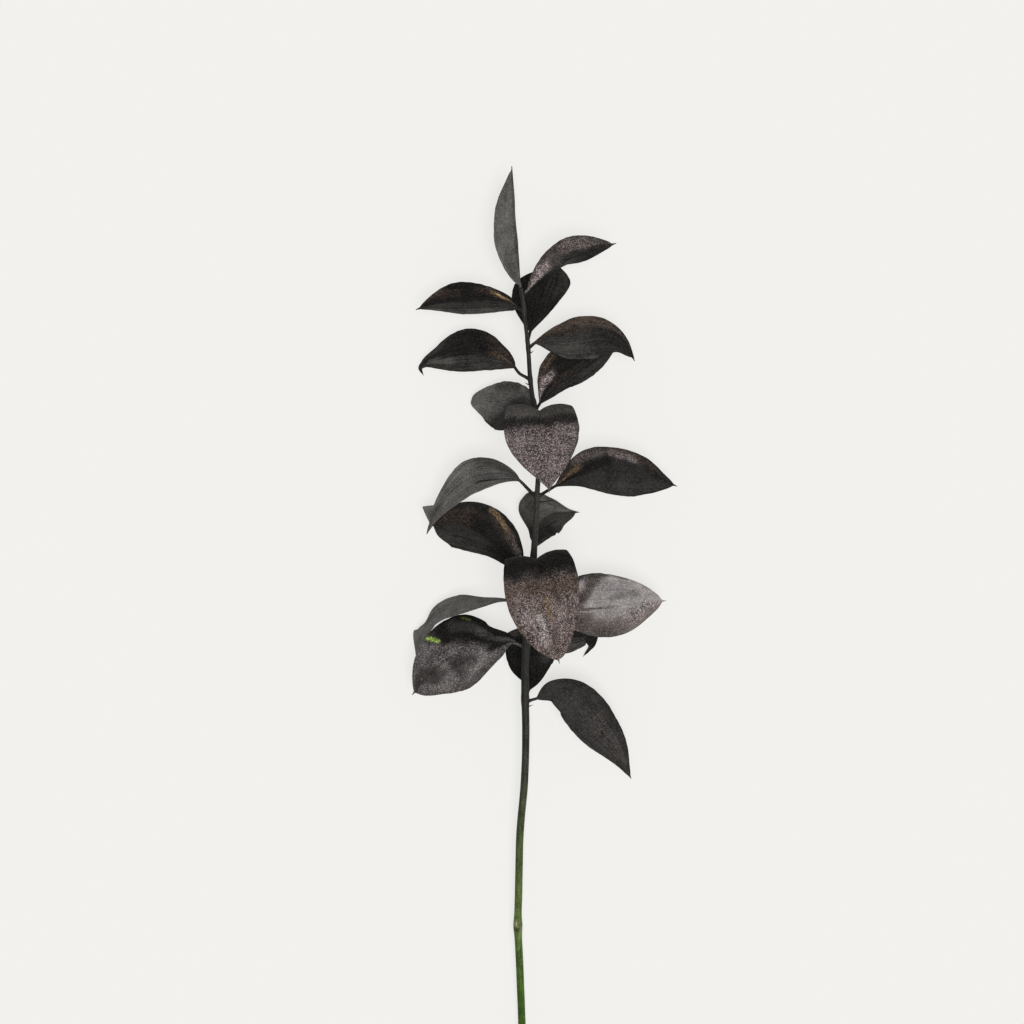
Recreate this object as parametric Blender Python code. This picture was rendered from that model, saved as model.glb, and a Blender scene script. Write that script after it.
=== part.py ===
"""A cut stem of broad-leaved ruscus, dried and sprayed black, lying on a flat surface.

The surface is z = 0, +Y runs up the stem to its tip and +Z looks up from the surface.
One straight woody stalk carries twenty leathery leaves on short stalks of their own.
The stalk and each leaf are separate closed solids with a thin gap where they join.
"""

import math
from collections import namedtuple

import bmesh
import bpy
import numpy as np
from mathutils import Vector

MM = 0.001

# Driving dimensions, in millimetres unless a name says otherwise
SEAM_GAP = 0.3            # between the stalk's leaf cushion and the leaf's own stalk
CUSHION_REACH = 1.2       # how far a leaf cushion stands out of the stalk
CUSHION_ROOT_RADIUS = 1.5
CUSHION_TOP_RADIUS = 1.15
CUSHION_SIDES = 8
STEM_SIDES = 12
STEM_STATIONS = 60
SHEATH_Y = -184.5         # old leaf scar on the bare lower stalk
SHEATH_SWELL = 0.55
SHEATH_LENGTH = 5.0
BRACT_RADIUS = 0.45
BRACT_TIP_RADIUS = 0.3
BRACT_DROP = 3.0          # a bract sits this far below its leaf
BRACT_SIDES = 5

BLADE_THICKNESS = 0.65
STALK_THICKNESS = 1.7     # the leaf's own stalk
STALK_HALF_WIDTH = 0.95
STALK_TAPER = 2.0         # the blade reaches its full thinness after this many stalk lengths
MUCRO_LENGTH = 3.0        # the spine at a leaf's tip
MUCRO_HALF_WIDTH = 0.35
LEAF_ROWS = 16
LEAF_COLUMNS = 6
ROW_EASING = 0.5          # 0 spaces rows evenly, 1 crowds them at both ends
WAVE_COUNT = 2.4
WAVE_PHASE_STEP = 2.4     # radians from one leaf to the next
WAVE_SIDE_SHIFT = 1.9     # radians between a leaf's two edges
PATH_SAMPLES = 240

# Points along the middle of the stalk, from the cut end up to the tip: x, y, z, radius
STEM_POINTS = [
    (-12.0, -303.0, 2.5, 2.45), (-13.0, -279.5, 5.5, 2.45), (-14.0, -246.5, 9.0, 2.4),
    (-15.5, -207.0, 13.0, 2.4), (-16.5, -184.5, 15.0, 2.4), (-16.0, -161.0, 17.5, 2.4),
    (-15.0, -122.0, 21.0, 2.4), (-12.5, -93.0, 23.8, 2.4), (-11.5, -60.0, 26.3, 2.35),
    (-12.0, -32.0, 28.0, 2.5), (-11.5, -6.5, 29.5, 2.45), (-9.0, 25.5, 31.5, 2.3),
    (-6.5, 54.5, 33.0, 2.1), (-4.5, 89.0, 34.5, 1.7), (-3.5, 114.5, 35.5, 1.5),
    (-5.2, 140.0, 36.5, 1.45), (-8.7, 165.5, 37.3, 1.4), (-10.2, 187.5, 38.0, 1.3),
    (-12.1, 203.5, 38.3, 1.2), (-13.3, 216.0, 38.5, 1.2), (-14.8, 223.0, 38.5, 1.15),
]

# One leaf. node: height of its cushion on the stalk. spine: points along the midrib,
# outwards. face: where the upper side looks, at even steps from base to tip.
# half: flat half-widths, left and right of the midrib as the face is looked at.
# fold: degrees each half rises towards the face, at even steps. curl: extra degrees
# each half gains from midrib to edge, at even steps. belly: where along the blade each
# half is widest. taper: how sharply each half narrows to the tip. shoulder: the same at
# the base. stalk: length of the leaf's own stalk. wave: height of the edge's waves.
# bract: how far the scale below the leaf stands out. bumps: corners and waists of the
# edge, each on side 0 or 1, at a share of the blade, with its height and half its length.
Leaf = namedtuple(
    "Leaf",
    "name node spine face half fold curl belly taper shoulder stalk wave bract bumps",
    defaults=[[(0, 0)], (0.42, 0.42), (1.0, 1.0), (0.85, 0.85), 5.0, 0.35, 2.5, ()],
)

LEAVES = [
    Leaf("leaf_01", 223.0,
         [(-15.5, 231.5, 39.5), (-16.5, 246, 40.5), (-18.5, 269, 40.5), (-20.5, 301, 36)],
         face=[(0.71, 0, 0.7)], half=(14.4, 14.0), fold=[-44, -44, -40],
         belly=(0.45, 0.45), taper=(0.9, 1.0), shoulder=(0.65, 0.65), stalk=2.0),
    Leaf("leaf_02", 218.5,
         [(-3.5, 228, 43), (10.5, 238.5, 46), (27, 245.5, 46), (45.5, 251.5, 42)],
         face=[(0.35, -0.6, 0.71), (0.35, -0.55, 0.74), (0.1, -0.3, 0.94)],
         half=(13.0, 13.8), fold=[-45, -42, -25], belly=(0.58, 0.4), taper=(0.85, 0.95),
         shoulder=(0.9, 1.0), stalk=3.0),
    Leaf("leaf_03", 190.0,
         [(-7.5, 201, 29), (-3, 217.5, 19), (2.5, 232.5, 9), (8, 246, 0.35)],
         face=[(0, 0.45, 0.9)], half=(18.3, 16.6), fold=[12, 12, 8], curl=[(8, 8)],
         belly=(0.45, 0.7), taper=(1.3, 1.0), shoulder=(0.9, 1.1), stalk=6.0),
    Leaf("leaf_04", 209.0,
         [(-22.5, 213.5, 39), (-34.5, 214.7, 39.5), (-47, 214.8, 39), (-61, 214.5, 37),
          (-72.5, 213, 33.5), (-81.5, 210.5, 31)],
         face=[(0, -0.32, 0.95)], half=(12.6, 13.6), fold=[-38, -38.5, -30],
         belly=(0.5, 0.56), taper=(0.95, 1.0), shoulder=(0.45, 0.85), stalk=3.0),
    Leaf("leaf_05", 165.5,
         [(-15, 169, 36), (-20.5, 175.5, 34), (-34.3, 180.2, 32), (-52.2, 181.5, 26),
          (-66.6, 179.7, 15), (-77.2, 177, 7), (-79.6, 174.9, 4), (-77.9, 170.4, 0.35)],
         face=[(0, 0.1, 1)], half=(10.4, 18.4), fold=[-12, -12, -6],
         belly=(0.45, 0.43), taper=(1.4, 1.5), shoulder=(0.6, 1.0), stalk=11.0),
    Leaf("leaf_06", 185.5,
         [(-3.6, 190, 42), (5.6, 192.7, 44), (15, 194.2, 45), (24.5, 196.4, 45.5),
          (35.2, 197.4, 44.5), (45.4, 194.4, 42), (52.2, 188.7, 38), (57.6, 177.7, 32)],
         face=[(0, 0.35, 0.94)], half=(17.4, 19.4), fold=[-35, -35.5, -28],
         belly=(0.38, 0.5), taper=(1.9, 0.75), shoulder=(1.3, 0.7), stalk=4.0),
    Leaf("leaf_07", 145.5,
         [(0.5, 155.5, 30), (9, 168, 25), (21.5, 178, 19), (37, 186.5, 9), (51, 193, 0.35)],
         face=[(0, 0.1, 1)], half=(15.0, 13.6), fold=[10, 10, 8],
         belly=(0.4, 0.5), taper=(1.0, 0.9), shoulder=(1.0, 1.0)),
    Leaf("leaf_08", 137.0,
         [(-11, 144.5, 29), (-21, 149.5, 23), (-34, 152.5, 16), (-45, 153.5, 10),
          (-47, 153, 1.5)],
         face=[(-0.1, 0.2, 0.97), (-0.1, 0.2, 0.97), (-0.1, 0.2, 0.97), (-1, 0.2, 0.4)],
         half=(18.5, 15.5), fold=[10, 8, 5], belly=(0.35, 0.33), taper=(1.3, 1.1),
         shoulder=(0.7, 0.5)),
    Leaf("leaf_09", 128.0,
         [(-3.5, 136.5, 46), (-3.5, 143.5, 62), (-3, 144, 71), (-2, 134.5, 77), (0, 117, 77),
          (2.8, 93.5, 69.5)],
         face=[(0, 0.8, -0.6), (0, 1, 0.1), (0, 0.7, 0.7), (0, 0.1, 1), (0, -0.1, 1)],
         half=(23.3, 24.3), fold=[15, 36, 20, 10],
         curl=[(0, 0), (-66, -66), (-25, -25), (-5, -5)],
         belly=(0.54, 0.54), taper=(1.0, 1.15), shoulder=(1.05, 1.05)),
    Leaf("leaf_10", 91.0,
         [(8, 98.5, 36), (23, 105.5, 38), (42, 108, 38), (61, 106.5, 35), (74, 102, 31),
          (85, 98, 27)],
         face=[(0, 0.25, 0.97)], half=(16.6, 16.5), fold=[-6, -8, -6],
         belly=(0.37, 0.6), taper=(0.9, 0.9), shoulder=(1.1, 1.1), stalk=11.0, bract=9.0),
    Leaf("leaf_11", 90.0,
         [(-11, 97, 37), (-17, 102.5, 40), (-31, 106, 44), (-45, 103.5, 45), (-57, 95.5, 40),
          (-68, 83.5, 29), (-75, 67.5, 19)],
         face=[(0, 0.8, 0.6), (-0.2, 0.6, 0.75), (-0.4, 0.3, 0.85)],
         half=(15.5, 13.5), fold=[10, 10, 8], belly=(0.38, 0.33), taper=(1.2, 1.85),
         stalk=14.0, bumps=[(1, 0.865, 8.5, 0.07)]),
    Leaf("leaf_12", 32.0,
         [(-15, 41.5, 28), (-21.5, 53, 26), (-30, 62.5, 23), (-41, 69.5, 19), (-57, 75, 13),
          (-73.5, 72.5, 7)],
         face=[(0, 0.1, 1)], half=(16.7, 17.5), fold=[8, 8, 6],
         belly=(0.74, 0.55), taper=(0.45, 0.8), shoulder=(1.1, 1.1)),
    Leaf("leaf_13", 27.0,
         [(-6.5, 38.5, 44), (-6, 48, 58), (-5, 52, 69), (-2.5, 42.5, 77), (0, 24, 78),
          (4, 4.5, 75), (9.2, -12.5, 67)],
         face=[(0, 0.8, -0.6), (-0.12, 1, 0.1), (0, 0.5, 0.85), (0, 0.1, 1), (0, -0.1, 1)],
         half=(22.9, 24.5), fold=[15, 34, 20, 10],
         curl=[(0, 0), (-60, -60), (-25, -25), (-5, -5)],
         belly=(0.5, 0.53), taper=(0.65, 0.8), shoulder=(1.0, 1.1)),
    Leaf("leaf_14", 53.5,
         [(-6.5, 60.5, 25), (-5.8, 69, 18), (-1.2, 76.5, 12), (7.5, 81, 8), (23.5, 81.5, 4)],
         face=[(0, 0.3, 0.95)], half=(19.5, 14.5), fold=[8, 8, 6],
         belly=(0.55, 0.5), taper=(1.9, 0.7), shoulder=(3.0, 0.8),
         bumps=[(0, 0.75, -3.0, 0.22), (0, 0.3, -3.0, 0.16), (1, 0.2, 2.5, 0.2)]),
    Leaf("leaf_15", 10.0,
         [(2.5, 15.5, 31), (19.5, 20, 33), (42.5, 22, 34), (62, 24.5, 32), (78, 25, 28)],
         face=[(0, 0.05, 1)], half=(21.5, 19.8), fold=[8, 6, 5], curl=[(-8, -6)],
         belly=(0.45, 0.55), taper=(0.8, 0.75), shoulder=(1.1, 1.0)),
    Leaf("leaf_16", 22.0,
         [(-25, 25.5, 30.5), (-40.5, 24, 30), (-56.5, 21.5, 26.5), (-70, 14, 18),
          (-79, 0.5, 12), (-82.5, -11, 1.05)],
         face=[(0, 0.93, 0.36), (-0.2, 0.85, 0.45), (-0.6, 0.3, 0.7)],
         half=(14.0, 12.5), fold=[2, 2, 2], belly=(0.5, 0.5), taper=(1.0, 1.0),
         shoulder=(2.0, 2.0),
         bumps=[(0, 0.72, -4.5, 0.2), (1, 0.73, -5.0, 0.11), (1, 0.93, 8.0, 0.12)]),
    Leaf("leaf_17", -5.0,
         [(-20.5, -0.5, 33), (-31, -2.5, 38), (-47, -6.5, 42), (-60, -12, 42),
          (-71.5, -20.5, 37), (-84, -35, 29)],
         face=[(0, 0.15, 0.98)], half=(22.3, 27.0), fold=[-20, -20, -10],
         belly=(0.55, 0.42), taper=(0.55, 0.85), shoulder=(1.2, 1.15), stalk=4.0),
    Leaf("leaf_18", -37.0,
         [(-8, -28.5, 21), (-8, -16, 14), (-8, -2.5, 8), (-7.5, 10, 3)],
         face=[(0, 0.4, 0.9)], half=(16.5, 16.0), fold=[8, 8, 6],
         belly=(0.6, 0.6), taper=(0.5, 1.0), shoulder=(0.85, 1.2), stalk=2.5,
         bumps=[(0, 0.86, 4.0, 0.2)]),
    Leaf("leaf_19", 3.0,
         [(1, 3, 24), (11, 0.5, 19), (21, 1.5, 14), (29, 1, 10), (31, -4, 6.5),
          (25.8, -12.2, 2)],
         face=[(0, 0.1, 1)], half=(12.5, 10.0), fold=[8, 8, 6],
         belly=(0.5, 0.33), taper=(2.1, 1.5)),
    Leaf("leaf_20", -39.5,
         [(-5, -37.5, 28), (5, -33, 31), (15.5, -35.5, 32), (25.5, -44, 30), (34.5, -55, 25),
          (44.5, -68, 17), (57, -91.5, 0.35)],
         face=[(0, 0.1, 1)], half=(14.0, 15.0), fold=[-6, -8, -6],
         belly=(0.38, 0.42), taper=(1.0, 1.1)),
]

# Colours are linear RGB
PAINT_BLACK = (0.025, 0.023, 0.022)
STEM_CHARCOAL = (0.035, 0.035, 0.033)


def clear_scene():
    for old in list(bpy.data.objects):
        bpy.data.objects.remove(old, do_unlink=True)


def paint(name, colour, roughness):
    material = bpy.data.materials.new(name)
    material.use_nodes = True
    shader = material.node_tree.nodes["Principled BSDF"]
    shader.inputs["Base Color"].default_value = (*colour, 1.0)
    shader.inputs["Roughness"].default_value = roughness
    shader.inputs["Metallic"].default_value = 0.0
    return material


def smooth_path(points, count):
    """Points at even steps along a smooth curve through the given ones."""
    points = np.array(points, float)
    chord = np.concatenate([[0.0], np.cumsum(np.linalg.norm(np.diff(points, axis=0), axis=1))])
    slope = np.gradient(points, chord, axis=0)
    at = np.linspace(0.0, chord[-1], PATH_SAMPLES)
    span = np.clip(np.searchsorted(chord, at, side="right") - 1, 0, len(points) - 2)
    width = (chord[span + 1] - chord[span])[:, None]
    u = (at - chord[span])[:, None] / width
    curve = (
        (2 * u**3 - 3 * u**2 + 1) * points[span]
        + (u**3 - 2 * u**2 + u) * width * slope[span]
        + (3 * u**2 - 2 * u**3) * points[span + 1]
        + (u**3 - u**2) * width * slope[span + 1]
    )
    step = np.linalg.norm(np.diff(curve[:, :3], axis=0), axis=1)
    run = np.concatenate([[0.0], np.cumsum(step)])
    even = np.linspace(0.0, run[-1], count)
    return np.column_stack([np.interp(even, run, column) for column in curve.T])


def unit(vector):
    return vector / np.linalg.norm(vector)


def stem_middle(height):
    """The stalk's middle and radius at a height along +Y."""
    path = smooth_path(STEM_POINTS, PATH_SAMPLES)
    return np.array([np.interp(height, path[:, 1], column) for column in path.T])


def leaf_heading(leaf):
    """Where the leaf's stalk leaves the stem's middle, and in which direction."""
    middle = stem_middle(leaf.node)
    return middle, unit(np.array(leaf.spine[0], float) - middle[:3])


def cushion_length(leaf):
    """From the stem's middle out to the cushion's top, longer where the leaf leans close."""
    if leaf.node >= STEM_POINTS[-1][1]:
        return CUSHION_REACH
    middle, heading = leaf_heading(leaf)
    along = unit(stem_middle(leaf.node + 1.0)[:3] - middle[:3])
    lean = np.linalg.norm(np.cross(heading, along))
    return (middle[3] + CUSHION_REACH) / lean


def leaf_start(leaf):
    middle, heading = leaf_heading(leaf)
    return middle[:3] + heading * (cushion_length(leaf) + SEAM_GAP)


def at_even_steps(values, t):
    """A value read at t from a list given at even steps over 0 to 1."""
    values = np.array(values, float)
    if len(values) == 1:
        return values[0]
    place = t * (len(values) - 1)
    low = min(int(place), len(values) - 2)
    return values[low] + (values[low + 1] - values[low]) * (place - low)


def blade_profile(s, belly, shoulder, taper):
    """Half-width of the blade, 0 to 1, from its base to its tip."""
    if s <= 0.0 or s >= 1.0:
        return 0.0
    if s < belly:
        return math.sin(0.5 * math.pi * s / belly) ** shoulder
    return math.cos(0.5 * math.pi * (s - belly) / (1.0 - belly)) ** taper


def edge_bump(leaf, side, s):
    """Extra half-width where the edge has a corner or a waist."""
    extra = 0.0
    for at_side, at, height, reach in leaf.bumps:
        if at_side == side:
            extra += height * max(0.0, 1.0 - abs(s - at) / reach)
    return extra


def bent_half(distance, half, fold, curl):
    """Sideways and upward place of a point on one half of the blade."""
    if abs(curl) < 1e-6:
        return distance * math.cos(fold), distance * math.sin(fold)
    rate = curl / half
    end = fold + rate * distance
    return (math.sin(end) - math.sin(fold)) / rate, (math.cos(fold) - math.cos(end)) / rate


def leaf_surface(leaf, index, rows, columns):
    """Middle surface of a leaf as rows of points across it, and how stalk-like each row is."""
    path = smooth_path([leaf_start(leaf)] + leaf.spine, PATH_SAMPLES)
    length = np.linalg.norm(np.diff(path, axis=0), axis=1).sum()
    tangents = np.gradient(path, axis=0)
    blade_from = leaf.stalk / length
    blade_to = 1.0 - MUCRO_LENGTH / length
    surface = []
    girths = []
    for row in range(rows + 1):
        even = row / rows
        t = even + ROW_EASING * (0.5 - 0.5 * math.cos(math.pi * even) - even)
        place = t * (PATH_SAMPLES - 1)
        middle = np.array([np.interp(place, range(PATH_SAMPLES), c) for c in path.T])
        along = unit(np.array([np.interp(place, range(PATH_SAMPLES), c) for c in tangents.T]))
        face = np.array(at_even_steps(leaf.face, t), float)
        face = unit(face - along * face.dot(along))
        right = np.cross(along, face)
        fold = math.radians(at_even_steps(leaf.fold, t))
        curl = at_even_steps(leaf.curl, t)
        s = (t - blade_from) / (blade_to - blade_from)
        root = STALK_HALF_WIDTH + (MUCRO_HALF_WIDTH - STALK_HALF_WIDTH) * t
        points = []
        for column in range(columns + 1):
            q = 2.0 * column / columns - 1.0
            side = 1 if q > 0 else 0
            swell = blade_profile(s, leaf.belly[side], leaf.shoulder[side], leaf.taper[side])
            half = leaf.half[side]
            distance = abs(q) * (root + (half - root) * swell + edge_bump(leaf, side, s))
            out, up = bent_half(distance, half, fold, math.radians(curl[side]))
            turn = 2.0 * math.pi * WAVE_COUNT * t
            turn += WAVE_PHASE_STEP * index + WAVE_SIDE_SHIFT * side
            up += leaf.wave * q * q * swell * math.sin(turn)
            points.append(middle + right * math.copysign(out, q) + face * up)
        surface.append(points)
        girths.append(max(0.0, min(1.0, 1.0 - t / (STALK_TAPER * blade_from))))
    return surface, girths


def make_leaf(leaf, index, material):
    surface, girths = leaf_surface(leaf, index, LEAF_ROWS, LEAF_COLUMNS)
    shape = bmesh.new()
    bmesh.ops.create_grid(shape, x_segments=LEAF_COLUMNS, y_segments=LEAF_ROWS, size=1.0)
    girth_layer = shape.verts.layers.deform.verify()
    for vert in shape.verts:
        column = round((vert.co.x + 1.0) / 2.0 * LEAF_COLUMNS)
        row = round((vert.co.y + 1.0) / 2.0 * LEAF_ROWS)
        vert[girth_layer][0] = girths[row]
        vert.co = Vector(surface[row][column]) * MM
    bmesh.ops.triangulate(shape, faces=shape.faces[:])
    mesh = bpy.data.meshes.new(leaf.name)
    shape.to_mesh(mesh)
    shape.free()
    mesh.materials.append(material)
    mesh.shade_smooth()
    blade = bpy.data.objects.new(leaf.name, mesh)
    bpy.context.scene.collection.objects.link(blade)
    blade.vertex_groups.new(name="stalk")
    solid = blade.modifiers.new("thickness", "SOLIDIFY")
    solid.thickness = STALK_THICKNESS * MM
    solid.offset = 0.0
    solid.vertex_group = "stalk"
    solid.thickness_vertex_group = BLADE_THICKNESS / STALK_THICKNESS
    solid.use_even_offset = True
    return blade


def add_tube(shape, rings):
    """Skins a row of rings, each a list of points, and caps both ends."""
    loops = []
    for ring in rings:
        loops.append([shape.verts.new(Vector(point) * MM) for point in ring])
    for low, high in zip(loops, loops[1:]):
        for here in range(len(low)):
            after = (here + 1) % len(low)
            shape.faces.new((low[here], low[after], high[after], high[here]))
    shape.faces.new(list(reversed(loops[0])))
    shape.faces.new(loops[-1])


def ring_round(middle, along, radius, sides):
    """Points of a circle across the direction along."""
    across = unit(np.cross(along, (0.0, 0.0, 1.0) if abs(along[2]) < 0.9 else (1.0, 0.0, 0.0)))
    other = np.cross(along, across)
    turns = [2.0 * math.pi * step / sides for step in range(sides)]
    return [middle + radius * (across * math.cos(a) + other * math.sin(a)) for a in turns]


def sheath_swell(height):
    """Extra radius at the old leaf scar."""
    away = (height - SHEATH_Y) / SHEATH_LENGTH
    return SHEATH_SWELL * math.exp(-away * away) if abs(away) < 3.0 else 0.0


def solid_from_rings(name, rings):
    shape = bmesh.new()
    add_tube(shape, rings)
    bmesh.ops.recalc_face_normals(shape, faces=shape.faces[:])
    mesh = bpy.data.meshes.new(name)
    shape.to_mesh(mesh)
    shape.free()
    piece = bpy.data.objects.new(name, mesh)
    return piece


def stalk_rings():
    path = smooth_path(STEM_POINTS, STEM_STATIONS)
    tangents = np.gradient(path[:, :3], axis=0)
    return [
        ring_round(p[:3], unit(d), p[3] + sheath_swell(p[1]), STEM_SIDES)
        for p, d in zip(path, tangents)
    ]


def cushion_rings(leaf):
    middle, heading = leaf_heading(leaf)
    top = middle[:3] + heading * cushion_length(leaf)
    root_radius = min(CUSHION_ROOT_RADIUS, middle[3] * 0.95)
    return [
        ring_round(middle[:3], heading, root_radius, CUSHION_SIDES),
        ring_round(top, heading, CUSHION_TOP_RADIUS, CUSHION_SIDES),
    ]


def bract_rings(leaf):
    """A thread-like scale that stands out just below the leaf's cushion."""
    middle = stem_middle(leaf.node - BRACT_DROP)
    heading = leaf_heading(leaf)[1]
    outward = unit(np.array([heading[0], -0.15, heading[2]]))
    tip = middle[:3] + outward * (middle[3] + leaf.bract)
    return [
        ring_round(middle[:3], outward, BRACT_RADIUS, BRACT_SIDES),
        ring_round(tip, outward, BRACT_TIP_RADIUS, BRACT_SIDES),
    ]


def make_stem(material):
    """The stalk with every leaf cushion and bract grown onto it."""
    stem = solid_from_rings("stem", stalk_rings())
    bpy.context.scene.collection.objects.link(stem)
    growths = bpy.data.collections.new("growths")
    bpy.context.scene.collection.children.link(growths)
    for leaf in LEAVES:
        growths.objects.link(solid_from_rings(leaf.name + "_cushion", cushion_rings(leaf)))
        if leaf is not LEAVES[0]:  # the leaf at the very tip has no bract
            growths.objects.link(solid_from_rings(leaf.name + "_bract", bract_rings(leaf)))
    union = stem.modifiers.new("growths", "BOOLEAN")
    union.operation = "UNION"
    union.operand_type = "COLLECTION"
    union.collection = growths
    union.solver = "EXACT"
    evaluated = stem.evaluated_get(bpy.context.evaluated_depsgraph_get())
    joined = bpy.data.meshes.new_from_object(evaluated)
    stem.modifiers.remove(union)
    stem.data = joined
    for growth in list(growths.objects):
        bpy.data.objects.remove(growth, do_unlink=True)
    bpy.data.collections.remove(growths)
    joined.materials.clear()
    joined.materials.append(material)
    joined.shade_smooth()
    joined.set_sharp_from_angle(angle=math.radians(40.0))
    return stem


def main():
    clear_scene()
    leaf_paint = paint("black_sprayed_leaf", PAINT_BLACK, 0.5)
    stem_paint = paint("black_sprayed_stalk", STEM_CHARCOAL, 0.55)
    make_stem(stem_paint)
    for index, leaf in enumerate(LEAVES):
        make_leaf(leaf, index, leaf_paint)


main()
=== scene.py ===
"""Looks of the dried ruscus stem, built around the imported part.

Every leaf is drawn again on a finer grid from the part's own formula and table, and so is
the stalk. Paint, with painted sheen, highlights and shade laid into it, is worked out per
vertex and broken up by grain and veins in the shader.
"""

import math
from collections import namedtuple

import bmesh
import bpy
import numpy as np
from mathutils import Matrix, Vector, noise


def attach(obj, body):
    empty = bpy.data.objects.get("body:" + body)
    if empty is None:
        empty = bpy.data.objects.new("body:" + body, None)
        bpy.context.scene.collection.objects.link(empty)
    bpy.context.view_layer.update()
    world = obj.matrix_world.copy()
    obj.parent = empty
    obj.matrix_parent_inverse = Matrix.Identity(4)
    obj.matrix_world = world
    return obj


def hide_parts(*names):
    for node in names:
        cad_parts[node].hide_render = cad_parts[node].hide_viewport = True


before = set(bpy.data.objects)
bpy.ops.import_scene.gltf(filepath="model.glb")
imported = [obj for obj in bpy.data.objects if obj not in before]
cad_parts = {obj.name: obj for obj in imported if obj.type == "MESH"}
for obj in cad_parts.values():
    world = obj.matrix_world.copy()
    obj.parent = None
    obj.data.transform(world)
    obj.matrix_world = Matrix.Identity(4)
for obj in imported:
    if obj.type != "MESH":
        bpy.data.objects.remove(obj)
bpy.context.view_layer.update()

MM = 0.001

# Sizes are in millimetres unless said otherwise. Cushions, blades and thorns are a hair
# slimmer than the part's.

# Stalk
PATH_SAMPLES = 240
STALK_STATIONS = 420
STALK_SIDES = 28
NODE_SWELL = 0.25         # the stalk is a little thicker where a leaf leaves it
NODE_LENGTH = 2.2
RIDGES = 9.0              # soft ridges round the stalk
RIDGE_HEIGHT = 0.05
RIDGE_TWIST = 0.02        # radians that they turn for each millimetre of stalk
SKIN_UNEVEN = 0.1
SKIN_DENTS_PER_MM = 0.06
SHEATH_Y = -184.5         # the old leaf scar on the bare lower stalk
SHEATH_SWELL = 0.55
SHEATH_LENGTH = 5.0
CUT_RIND = 0.35           # thickness of the skin round the pith at the cut ends
DOUBLES_METRES = 0.00001  # points of the wrapped grid closer than this are joined

# Cushions that the leaves sit on, and the dry scales below them
CUSHION_REACH = 1.2
CUSHION_ROOT_RADIUS = 1.45
CUSHION_TOP_RADIUS = 1.1
CUSHION_FIT = 0.95        # its root is at most this share of the stalk's radius
CUSHION_SIDES = 14
SEAT_DEPTH = 0.5          # a leaf's own stalk starts this far inside its cushion
BRACT_RADIUS = 0.5
BRACT_DROP = 3.0
BRACT_ROOT_DEPTH = 0.8    # the scale starts this far from the stalk's middle
BRACT_BEND = 1.1          # how far its point is bent up along the stalk
BRACT_EASING = 1.5        # over 1 it stays wide at first and narrows late
BRACT_POINT = 0.15        # share of its width that is left at the point
BRACT_SIDES = 10
BRACT_STEPS = 6

# Blades, each with a stalk of its own and a small thorn at the tip
LEAF_ROWS = 104
LEAF_COLUMNS = 40
ROW_EASING = 0.4          # 0 spaces rows evenly, 1 crowds them at both ends
BLADE_THICKNESS = 0.6
STALK_THICKNESS = 1.6
STALK_HALF_WIDTH = 0.9
STALK_TAPER = 2.0         # the blade reaches its full thinness after this many stalk lengths
THORN_LENGTH = 3.0
THORN_HALF_WIDTH = 0.3
THORN_POINT = 0.6         # share of its width that the thorn loses towards its point
TIP_FLARE = 0.5           # extra half-width where the blade runs into its thorn
TIP_FLARE_AT = 0.975
TIP_FLARE_LENGTH = 0.05
SHARPEST_BEND = 0.09      # share of the blade: a corner longer than this is rounded
FLATTEST_CURL = 1e-6      # radians: a half that curls less is drawn straight
WAVE_COUNT = 2.4
WAVE_PHASE_STEP = 2.4     # radians from one leaf to the next
WAVE_SIDE_SHIFT = 1.9     # radians between a leaf's two edges
RAGGED_EDGE = 0.35        # uneven edge of the blade
RAGS_ALONG = 22.0
RAG_SIDE_SHIFT = 7.0

# Relief of a blade
MIDRIB_HEIGHT = 0.18      # the midrib is pressed in on the upper side
MIDRIB_WIDTH = 0.05       # in half-widths
MIDRIB_FADE = 2.0         # it fades where the blade is under half of its full width
VEIN_HEIGHT = 0.05
VEINS_PER_HALF = 4.0
VEIN_CROWDING = 0.8       # under 1 the veins lie closer together by the midrib
VEIN_WAVER = 0.5          # how far a vein wanders, as a share of their spacing
WAVERS_ALONG = 4.0
WAVERS_ACROSS = 2.0
DIMPLE_HEIGHT = 0.30      # uneven drying of the blade
DIMPLES_PER_METRE = 90.0

# Strokes of paint, painted sheen and painted shade on a blade, in half-widths
LEAF_ASPECT = 3.5         # length of a blade, about
STROKE_EDGE = 4           # how squarely a stroke ends
STROKE_REACH = 3.0        # radii from its line past which a stroke adds nothing
SHORTEST_STROKE = 1e-9    # squared, so that a dot without length divides by something
HALVES_BLEND = 0.07       # how far from the midrib the colours of the two halves mix
PAINT_STRAY = 0.10        # how far the edge of a stroke wanders
STRAYS_PER_METRE = 160.0
LOOSE_RADIUS = 0.2        # the edge of a smaller stroke than this wanders less

# Paint in the shader: patterns per metre, and for each the noise range and what it adds
SPECKS_PER_METRE = 2300.0
CLUSTERS_PER_METRE = 520.0
COVERS_PER_METRE = 110.0
SPECK_RANGE = (0.60, 1.0, -0.55, 2.5)
CLUSTER_RANGE = (0.32, 0.68, -0.12, 0.12)
COVER_RANGE = (0.32, 0.68, -0.30, 0.32)
VEIN_RANGE = (0.38, 0.62, -0.55, 0.75)
THINNEST_PAINT = 0.12
STALK_VEINS = 0.35
LEAF_VEIN_SCALE = (30.0, 2.2, 1.0)       # across the blade and along it
STALK_VEIN_SCALE = (900.0, 14.0, 900.0)  # per metre, drawn out along the stalk

# Gloss and bump of the paint
LEAF_ROUGHNESS = 0.6
STALK_ROUGHNESS = 0.55
GLOSS_CLUSTERS = (0.3, 0.7)
DULLER_BY = 0.1
SHINIER_BY = 0.08
PAINT_SPECULAR = 0.12
GRAIN_RELIEF = 0.5        # height of the grain beside that of the veins
BUMP_STRENGTH = 0.5
BUMP_METRES = 0.0001

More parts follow.
